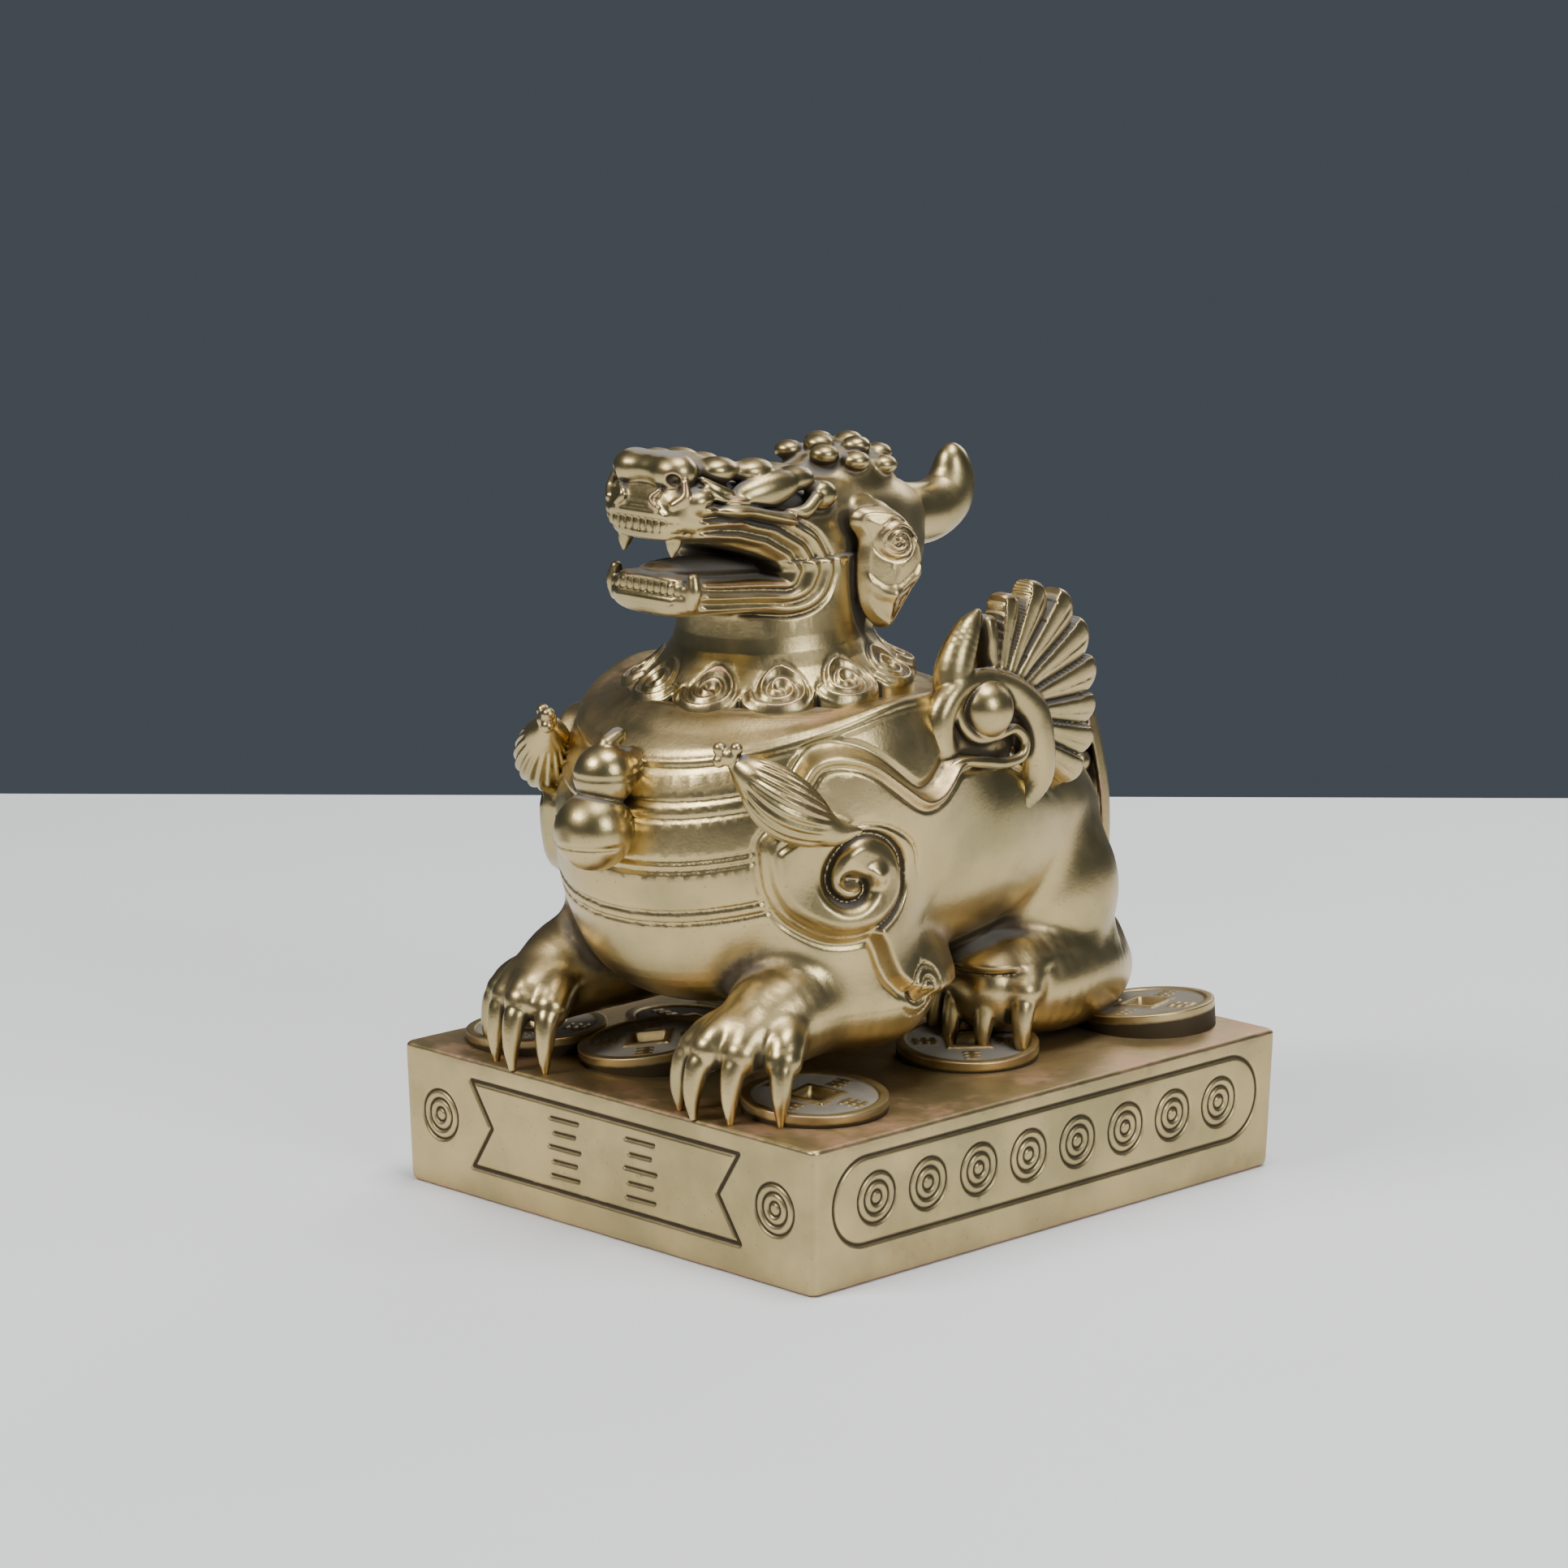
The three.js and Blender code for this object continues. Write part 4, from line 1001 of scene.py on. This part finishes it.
def buildWing():
    clay = Clay((24, -16, 64), (40, 33, 116), 0.27 * coarse)
    hub = wing["hub"]
    angles = np.array([a for a, _ in wing["feathers"]], float)
    reaches = np.array([r for _, r in wing["feathers"]], float)
    bounds = np.concatenate([[angles[0] + 7.5], (angles[1:] + angles[:-1]) / 2, [angles[-1] - 6]])

    def fan(x, y, z):
        dy, dz = y - hub[1], z - hub[2]
        r = np.sqrt(dy * dy + dz * dz) + 1e-3
        angle = np.degrees(np.arctan2(dz, dy)) - 0.012 * (r - 14) ** 2 * 0.3
        k = np.clip(np.searchsorted(-bounds, -angle) - 1, 0, len(angles) - 1)
        upper, lower = bounds[k], bounds[k + 1]
        u = np.clip((angle - (upper + lower) / 2) / ((upper - lower) / 2), -1, 1)
        reach = reaches[k] * (1 - 0.055 * u * u - 0.02 * (1 - u))
        middle = hub[0] - wing["lean"] * r
        plump = np.sqrt(np.clip(1 - u * u * 0.92, 0, 1))
        thick = 1.2 + 1.25 * plump + 0.5 * u * ease(r, 8, 14) - 0.6 * ease(r, reaches[k] - 5, reaches[k] + 1)
        thick = thick - 0.28 * hump(u + 0.1, 0.14) * ease(r, 10, 15) * ease(reaches[k] - r, 1, 4)
        outside = np.maximum(angle - bounds[0], bounds[-1] - angle) * math.pi / 180 * r
        edge = softMax(r - reach, outside, 0.8)
        return softMax(np.abs(x - middle) - thick, edge, 1.3) * 0.85

    clay.put(fan, (26, -2, 66), (36, 32, 116), 0)
    clay.tube([(30.6, -5, 86, 3.2), (30.6, -5.4, 93, 3.4), (30.4, -2.4, 99, 2.5), (30.2, 0.6, 102.2, 0.9)], 0.5, thin=(0.95, 1, 1))
    clay.tube(wingBand, 0.5)
    clay.tube(wingLip, 0.4)
    clay.blob(wing["ball"], wing["ballRadius"], blend=0.3)
    clay.blob((29.5, 0, 80), (4.5, 9, 9), blend=1.5)
    return fire(clay, "leftWing", figureBrass, 66000, flip=True)


leftWing = buildWing()
print("wings made")

# Tail: an upright leaf, cupped towards the rump, ribbed inside

tail = {
    "stations": [
        (43, 34, 4, 0.5), (54, 36.5, 7.6, 2.6), (60, 47, 9.6, 4), (60.6, 60, 9.8, 4.2), (57.8, 74, 8.3, 3.3),
        (54.4, 83, 5.6, 2), (52, 88, 1.8, 0.5),
    ],
}


def buildTail():
    clay = Clay((0, 38, 30), (11.5, 64, 91), 0.32 * coarse, halved=True)
    path = smoothLine(tail["stations"], 10)
    side = Chart((36, 28), (68, 94), 0.2)
    gap, along = side.line([tuple(p[:2]) for p in path], 0)
    spot = along * (len(path) - 1)
    half = np.interp(spot, np.arange(len(path)), path[:, 2]).astype(np.float32)
    cup = np.interp(spot, np.arange(len(path)), path[:, 3]).astype(np.float32)
    gap = gap.astype(np.float32)
    length = along.astype(np.float32)
    inner = side.region([tuple(p[:2]) for p in path[::6]] + [(40, 88), (36, 60), (36, 34)], 0).astype(np.float32)

    def leaf(x, y, z):
        wide = side.at(y, z, half)
        u = np.clip(x / wide, 0, 1.3)
        shifted = y + side.at(y, z, cup) * u * u
        d = side.at(shifted, z, gap)
        front = side.at(shifted, z, inner) < 0
        t = side.at(shifted, z, length)
        ribs = 0.35 * np.cos(u * 4.2 * math.pi) * front * ease(u, 0.95, 0.8) * ease(t, 0.15, 0.3)
        thick = 1.1 + 0.35 * hump(u - 0.93, 0.16) + ribs
        veins = 0.25 * hump(u, 0.12) * (1 - front)
        return softMax(d - thick - veins, (x - wide), 1.0) * 0.9

    clay.put(leaf, (0, 40, 32), (11, 63, 90), 0)
    clay.tube([(0, 43, 45.5, 6), (0, 50, 42.6, 5.2), (0, 58, 46, 3.6)], 1.2)
    clay.tube([(0, 43, 64, 5.6), (0, 50, 66, 4.8), (0, 57.4, 68, 3.2)], 1.2)
    for z, r in ((71, 2.6), (66.6, 2.3), (62.6, 1.9)):
        clay.blob((6.6, 52.6, z), (2.3, 2.3, r), blend=0.7)
        clay.blob((2.4, 54, z + 1.5), (2.4, 2.2, r), blend=0.7)
    clay.put(lambda x, y, z: z + 0 * x + 0 * y - 33.6, (0, 30, 20), (20, 70, 33.6), 0, carve=True)
    return fire(clay, "tail", figureBrass, 70000)


tailPiece = buildTail()
print("tail made")

# Bells on the middle of the chest and a hanging tassel on each side

bells = {"upper": (0, -55.9, 78.4), "upperRadius": 5.2, "lower": (0, -58.4, 69.4), "lowerRadius": 6.6}


def buildBells():
    clay = Clay((0, -66, 60), (9, -44, 86), 0.28 * coarse, halved=True)
    upper, lower = bells["upper"], bells["lower"]
    clay.blob(upper, bells["upperRadius"], blend=0)
    clay.blob(lower, bells["lowerRadius"], blend=0.6)
    clay.tube([(0, -48, 79, 3.4), (0, -53, 78.6, 3.6)], 0.8)
    clay.tube([(0, -49, 69, 4), (0, -55, 69.2, 4.4)], 0.8)
    clay.tube([(0, -53, 84.6, 1.4), (0, -55.4, 83.4, 1.5)], 0.6)

    def crease(x, y, z):
        return -0.35 * hump(z - lower[2] + 1.9, 0.7) * ease(-y, 56, 60) - 0.15 * hump(z - upper[2], 0.6)

    clay.raiseBy(crease, (0, -66, 60), (9, -46, 86))
    return fire(clay, "bells", figureBrass, 50000)


tasselRoute = [(23, -47.4, 82), (25.6, -45.6, 79.6), (29, -42.6, 75.4), (33, -37.4, 71.4), (36, -33, 71.2)]


def buildTassel():
    clay = Clay((14, -57, 64), (38, -32, 88), 0.25 * coarse)
    radii = (1.9, 3.8, 5.2, 2.7, 0.5)
    clay.tube([(*p, r) for p, r in zip(tasselRoute, radii)], 0, perSpan=10)
    path = smoothLine(tasselRoute, 10)
    axis = path[-1] - path[0]
    axis /= np.linalg.norm(axis)
    out = np.array((0.66, -0.75, 0.0))
    out -= axis * (out @ axis)
    out /= np.linalg.norm(out)
    over = np.cross(axis, out)

    def strands(x, y, z):
        p = [x - path[0][0], y - path[0][1], z - path[0][2]]
        t = sum(p[i] * axis[i] for i in range(3))
        a = sum(p[i] * out[i] for i in range(3))
        b = sum(p[i] * over[i] for i in range(3))
        sag = 1.1 * np.sin(np.clip(t / 20, 0, 1) * math.pi)
        angle = np.arctan2(b - sag * 0.3, a + 0.6)
        return 0.2 * np.cos(angle * 26 + t * 0.16) * ease(t, 1.6, 4) * ease(-t, -18, -15)

    clay.raiseBy(strands, (14, -57, 64), (38, -32, 88))
    for at, r in (((22, -48.6, 83.6), 1.7), ((20.6, -49.6, 84.8), 1.2), ((23.2, -48.4, 85), 1.1), ((20.6, -49.8, 82.8), 1.1)):
        clay.blob(at, r, blend=0.3)
    return fire(clay, "leftTassel", figureBrass, 50000, flip=True)


bellPiece = buildBells()
leftTassel = buildTassel()
print("bells and tassels made")

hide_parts("pixiu")

# Plinth: drafted slab, engraved on the sides, with coins cast on top

plinth = {
    "width": 100, "depth": 114.6, "height": 24.6, "draft": 0.64, "corner": 1.6, "edge": 0.7,
    "engraving": 0.42, "line": 0.55,
}
# Distances from a side's middle and from its lower edge.
roundels = {"rings": (4.3, 2.75, 1.2), "row": 14.2, "pitch": 12.1, "count": 8, "frontOffset": 40.6}
banner = [(-32.5, 20.8), (32.5, 20.8), (27.5, 13.2), (32.5, 5.6), (-32.5, 5.6), (-27.5, 13.2)]
stadium = {"half": 52.3, "high": 7.4, "row": 14.2}


def engrave(chart, points, width, depth, smooth=0):
    gap, _ = chart.line(points, smooth)
    chart.height[:] = np.maximum(chart.height, depth * hump(gap, width))


def engraveRings(chart, at, row):
    r = np.hypot(chart.u - at, chart.v - row)
    for radius in roundels["rings"]:
        chart.height[:] = np.maximum(chart.height, plinth["engraving"] * hump(r - radius, plinth["line"] * 0.9))


def frontEngraving():
    chart = Chart((-51, -1), (51, 26), 0.11)
    line, depth = plinth["line"], plinth["engraving"]
    engrave(chart, [*banner, banner[0]], line * 1.25, depth * 1.2)
    for side in (-1, 1):
        engraveRings(chart, side * roundels["frontOffset"], 13.2)
    # Two columns of short level strokes, standing for the worn inscription.
    for column in (-9.2, 9.2):
        for row, length in ((18.2, 3.4), (15.7, 2.6), (13.2, 3.8), (10.7, 2.9), (8.2, 3.4)):
            engrave(chart, [(column - length, row), (column + length, row + 0.1)], line * 0.9, depth)
    return chart


def sideEngraving(rings):
    chart = Chart((-58, -1), (58, 26), 0.11)
    half, high, row = stadium["half"] - stadium["high"], stadium["high"], stadium["row"]
    turn = [math.radians(a) for a in range(-90, 91, 6)]
    right = [(half + high * math.cos(a), row + high * math.sin(a)) for a in turn]
    left = [(-half - high * math.cos(a), row - high * math.sin(a)) for a in turn]
    engrave(chart, [*right, *left, right[0]], plinth["line"] * 1.1, plinth["engraving"])
    if rings:
        for k in range(roundels["count"]):
            engraveRings(chart, (k - (roundels["count"] - 1) / 2) * roundels["pitch"], row)
    return chart


def slabRing(inset, columns):
    # Points and outward directions round the slab, in the same order for every height.
    hx, hy = plinth["width"] / 2 - inset, plinth["depth"] / 2 - inset
    r = plinth["corner"]
    place, out, side, along = [], [], [], []
    for k, (across, forward) in enumerate(((hx, hy), (hy, hx), (hx, hy), (hy, hx))):
        a = k * math.pi / 2
        turn = np.array(((math.cos(a), -math.sin(a)), (math.sin(a), math.cos(a))))
        u = np.linspace(-(across - r), across - r, columns[k % 2])
        flatPart = np.stack([u, np.full(len(u), -forward)], 1)
        bend = np.radians(np.linspace(-90, 0, 7)[1:-1])
        arc = np.stack([across - r + r * np.cos(bend), -(forward - r) + r * np.sin(bend)], 1)
        place.append(np.vstack([flatPart, arc]) @ turn.T)
        facing = np.vstack([np.tile((0, -1), (len(u), 1)), np.stack([np.cos(bend), np.sin(bend)], 1)])
        out.append(facing @ turn.T)
        side.append(np.full(len(u) + len(bend), k))
        along.append(np.concatenate([u, np.full(len(bend), across)]))
    return np.vstack(place), np.vstack(out), np.concatenate(side), np.concatenate(along)


def softNoise(u, v, seed, size):
    # Gentle unevenness from a few waves.
    random = np.random.default_rng(seed)
    total = 0
    for _ in range(7):
        angle, phase, scale = random.uniform(0, 6.28), random.uniform(0, 6.28), random.uniform(0.6, 1.7)
        total = total + np.sin((u * math.cos(angle) + v * math.sin(angle)) * scale * 6.28 / size + phase)
    return total / 7


def buildPlinth():
    step = 0.24 * coarse
    height, edge, draft = plinth["height"], plinth["edge"], plinth["draft"]
    columns = [int(plinth["width"] / step), int(plinth["depth"] / step)]
    rounding = [(edge * (1 - math.sin(a)), edge * (1 - math.cos(a))) for a in np.linspace(0, math.pi / 2, 5)]
    levels = [(h, draft + inset) for inset, h in rounding[:-1]]
    levels += [(z, draft * (1 - z / height)) for z in np.arange(edge, height - edge, step)]
    levels += [(height - h, inset) for inset, h in rounding[::-1]]
    charts = [frontEngraving(), sideEngraving(True), sideEngraving(False), sideEngraving(False)]
    charts[2].height[:] = 0
    rows, hollows, edges = [], [], []
    for z, inset in levels:
        place, out, side, along = slabRing(inset, columns)
        cut = np.zeros(len(side))
        for k, chart in enumerate(charts):
            cut = np.where(side == k, chart.at(along, np.full(len(along), z)), cut)
        nick = 0.09 * softNoise(along * 1.0, z + side * 40.0, 5, 9) + 0.05 * softNoise(along, z, 8, 3.1)
        rim = np.exp(-((height - z) / 0.9) ** 2) + np.exp(-(z / 0.9) ** 2)
        place = place - out * (cut + 0.07 + 0.05 * nick + rim * (0.12 + nick))[:, None]
        rows.append(np.column_stack([place, np.full(len(place), z)]))
        hollows.append(np.clip(cut / plinth["engraving"], 0, 1) * 0.9)
        corner = np.clip(1 - (plinth["width"] / 2 + 60 - np.abs(along)) / 3, 0, 1) * 0
        edges.append(np.clip(rim + corner, 0, 1) * np.ones(len(place)))
    around = len(rows[0])
    # The top and the underside close in to the middle by shrinking rings.
    for scale in (0.995, 0.985, 0.96, 0.9, 0.8, 0.65, 0.45, 0.2, 0.0):
        rows.append(np.column_stack([rows[len(levels) - 1][:, :2] * scale, np.full(around, height)]))
        hollows.append(np.zeros(around))
        edges.append(np.zeros(around))
    bottom = [np.column_stack([rows[0][:, :2] * scale, np.zeros(around)]) for scale in (0.0, 0.3, 0.65, 0.95)]
    rows = bottom + rows
    hollows = [np.zeros(around)] * 4 + hollows
    edges = [np.zeros(around)] * 4 + edges
    points = np.vstack(rows)
    index = np.arange(len(points)).reshape(len(rows), around)
    next_ = np.roll(index, -1, 1)
    faces = np.stack([index[:-1], next_[:-1], next_[1:], index[1:]], -1).reshape(-1, 4)
    mesh = meshOf("plinthBody", points, faces)
    addFloat(mesh, "hollow", np.concatenate(hollows))
    addFloat(mesh, "edge", np.concatenate(edges))
    mesh = thinned(mesh, 130000)
    mesh.polygons.foreach_set("use_smooth", np.ones(len(mesh.polygons), bool))
    piece = addPiece("plinthBody", mesh, plinthBrass)
    print("plinthBody", len(mesh.polygons), "faces")
    return piece


coin = {"radius": 12.2, "thickness": 2.4, "hole": 2.8, "rim": 1.5, "holeRim": 1.0, "raised": 0.4}
# Where each coin lies, its lift off the plinth and its lean.
coinSpots = [
    ((31.5, -38.5), 0.4, (2, 3), 12), ((-11, -35.6), 1.6, (7, -4), 40), ((-17, -19), 0.5, (-4, 3), 5),
    ((-34.5, -40), 0.4, (2, -3), 25), ((25, 5), 0.5, (3, 4), 50), ((-25, 6), 0.5, (3, -3), 33),
    ((30.5, 44.5), 1.3, (2, -5), 10), ((-29, 44), 0.9, (-3, 4), 70),
]


def coinTop(u, v, seed):
    r = np.hypot(u, v)
    square = np.maximum(np.abs(u), np.abs(v))
    raised = coin["raised"]
    rim = ease(r, coin["radius"] - coin["rim"] - 0.35, coin["radius"] - coin["rim"])
    inner = 1 - ease(square, coin["hole"] + coin["holeRim"], coin["hole"] + coin["holeRim"] + 0.35)
    h = raised * np.maximum(rim, inner)
    # Four worn groups of short strokes between the hole and the rim.
    for k in range(4):
        a = k * math.pi / 2
        p, q = u * math.cos(a) + v * math.sin(a), -u * math.sin(a) + v * math.cos(a)
        for row in (-1.5, 0, 1.5):
            stroke = softMax(np.abs(p - 7.4 - row) - 0.35, np.abs(q) - 1.7 + 0.3 * ((seed + k) % 3), 0.2)
            h = np.maximum(h, raised * 0.7 * ease(-stroke, -0.35, 0.1))
        bar = softMax(np.abs(q - 0.4 * (seed % 2)) - 0.35, np.abs(p - 7.4) - 2.1, 0.2)
        h = np.maximum(h, raised * 0.7 * ease(-bar, -0.35, 0.1))
    return h - 0.12 * ease(r, 11.7, 12.2) ** 2


def buildCoins():
    around, out = int(260 / coarse), int(34 / coarse)
    points, faces, hollows, edges = [], [], [], []
    start = 0
    a = np.arange(around) * 2 * math.pi / around
    for k, ((x, y), lift, lean, spin) in enumerate(coinSpots):
        square = coin["hole"] / np.maximum(np.abs(np.cos(a)), np.abs(np.sin(a)))
        square = np.minimum(square, coin["hole"] * 1.32)
        top = coin["thickness"] / 2
        turn = np.array(Euler((math.radians(lean[0]), math.radians(lean[1]), 0)).to_matrix())
        turn = turn @ np.array(Matrix.Rotation(math.radians(spin), 3, "Z"))
        # The square hole's wall gets a fixed hollow of 1.0: painted shade inside the hole.
        rings = [(square * 1.0, np.full(around, -3.0), 1.0, 0.0)]
        for t in np.linspace(0, 1, out):
            r = square + (coin["radius"] - square) * (t ** 0.9)
            u, v = r * np.cos(a), r * np.sin(a)
            h = coinTop(u, v, k)
            rings.append((r, top - coin["raised"] + h, np.clip(0.55 - h / coin["raised"] * 0.6, 0, 1), float(t > 0.97)))
        # A skirt runs from the coin's edge down to the plinth. Its lower rings get hollow 0.9, a painted shadow in the
        # gap under the lifted coin.
        for drop in (0.35, 0.9, 1.8, 5.0):
            r = np.full(around, coin["radius"] + (0.0 if drop < 2 else -0.1))
            rings.append((r, np.full(around, top - drop), 0.15 if drop < 1.5 else 0.9, float(drop < 0.5)))
        for r, h, hollow, edge in rings:
            p = np.stack([r * np.cos(a), r * np.sin(a), h], 1) @ turn.T
            p += (x, y, plinth["height"] + coin["thickness"] / 2 + lift)
            p[:, 2] = np.maximum(p[:, 2], plinth["height"] - 0.3)
            points.append(p)
            hollows.append(np.broadcast_to(hollow, around))
            edges.append(np.broadcast_to(edge, around))
        index = start + np.arange(len(rings) * around).reshape(len(rings), around)
        next_ = np.roll(index, -1, 1)
        faces.append(np.stack([index[:-1], index[1:], next_[1:], next_[:-1]], -1).reshape(-1, 4))
        start += len(rings) * around
    mesh = meshOf("coins", np.vstack(points), np.vstack(faces))
    addFloat(mesh, "hollow", np.concatenate(hollows))
    addFloat(mesh, "edge", np.concatenate(edges))
    mesh = thinned(mesh, 100000)
    mesh.polygons.foreach_set("use_smooth", np.ones(len(mesh.polygons), bool))
    print("coins", len(mesh.polygons), "faces")
    return addPiece("coins", mesh, plinthBrass)


plinthPiece = buildPlinth()
coinPiece = buildCoins()
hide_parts("plinth")
print("plinth and coins made")
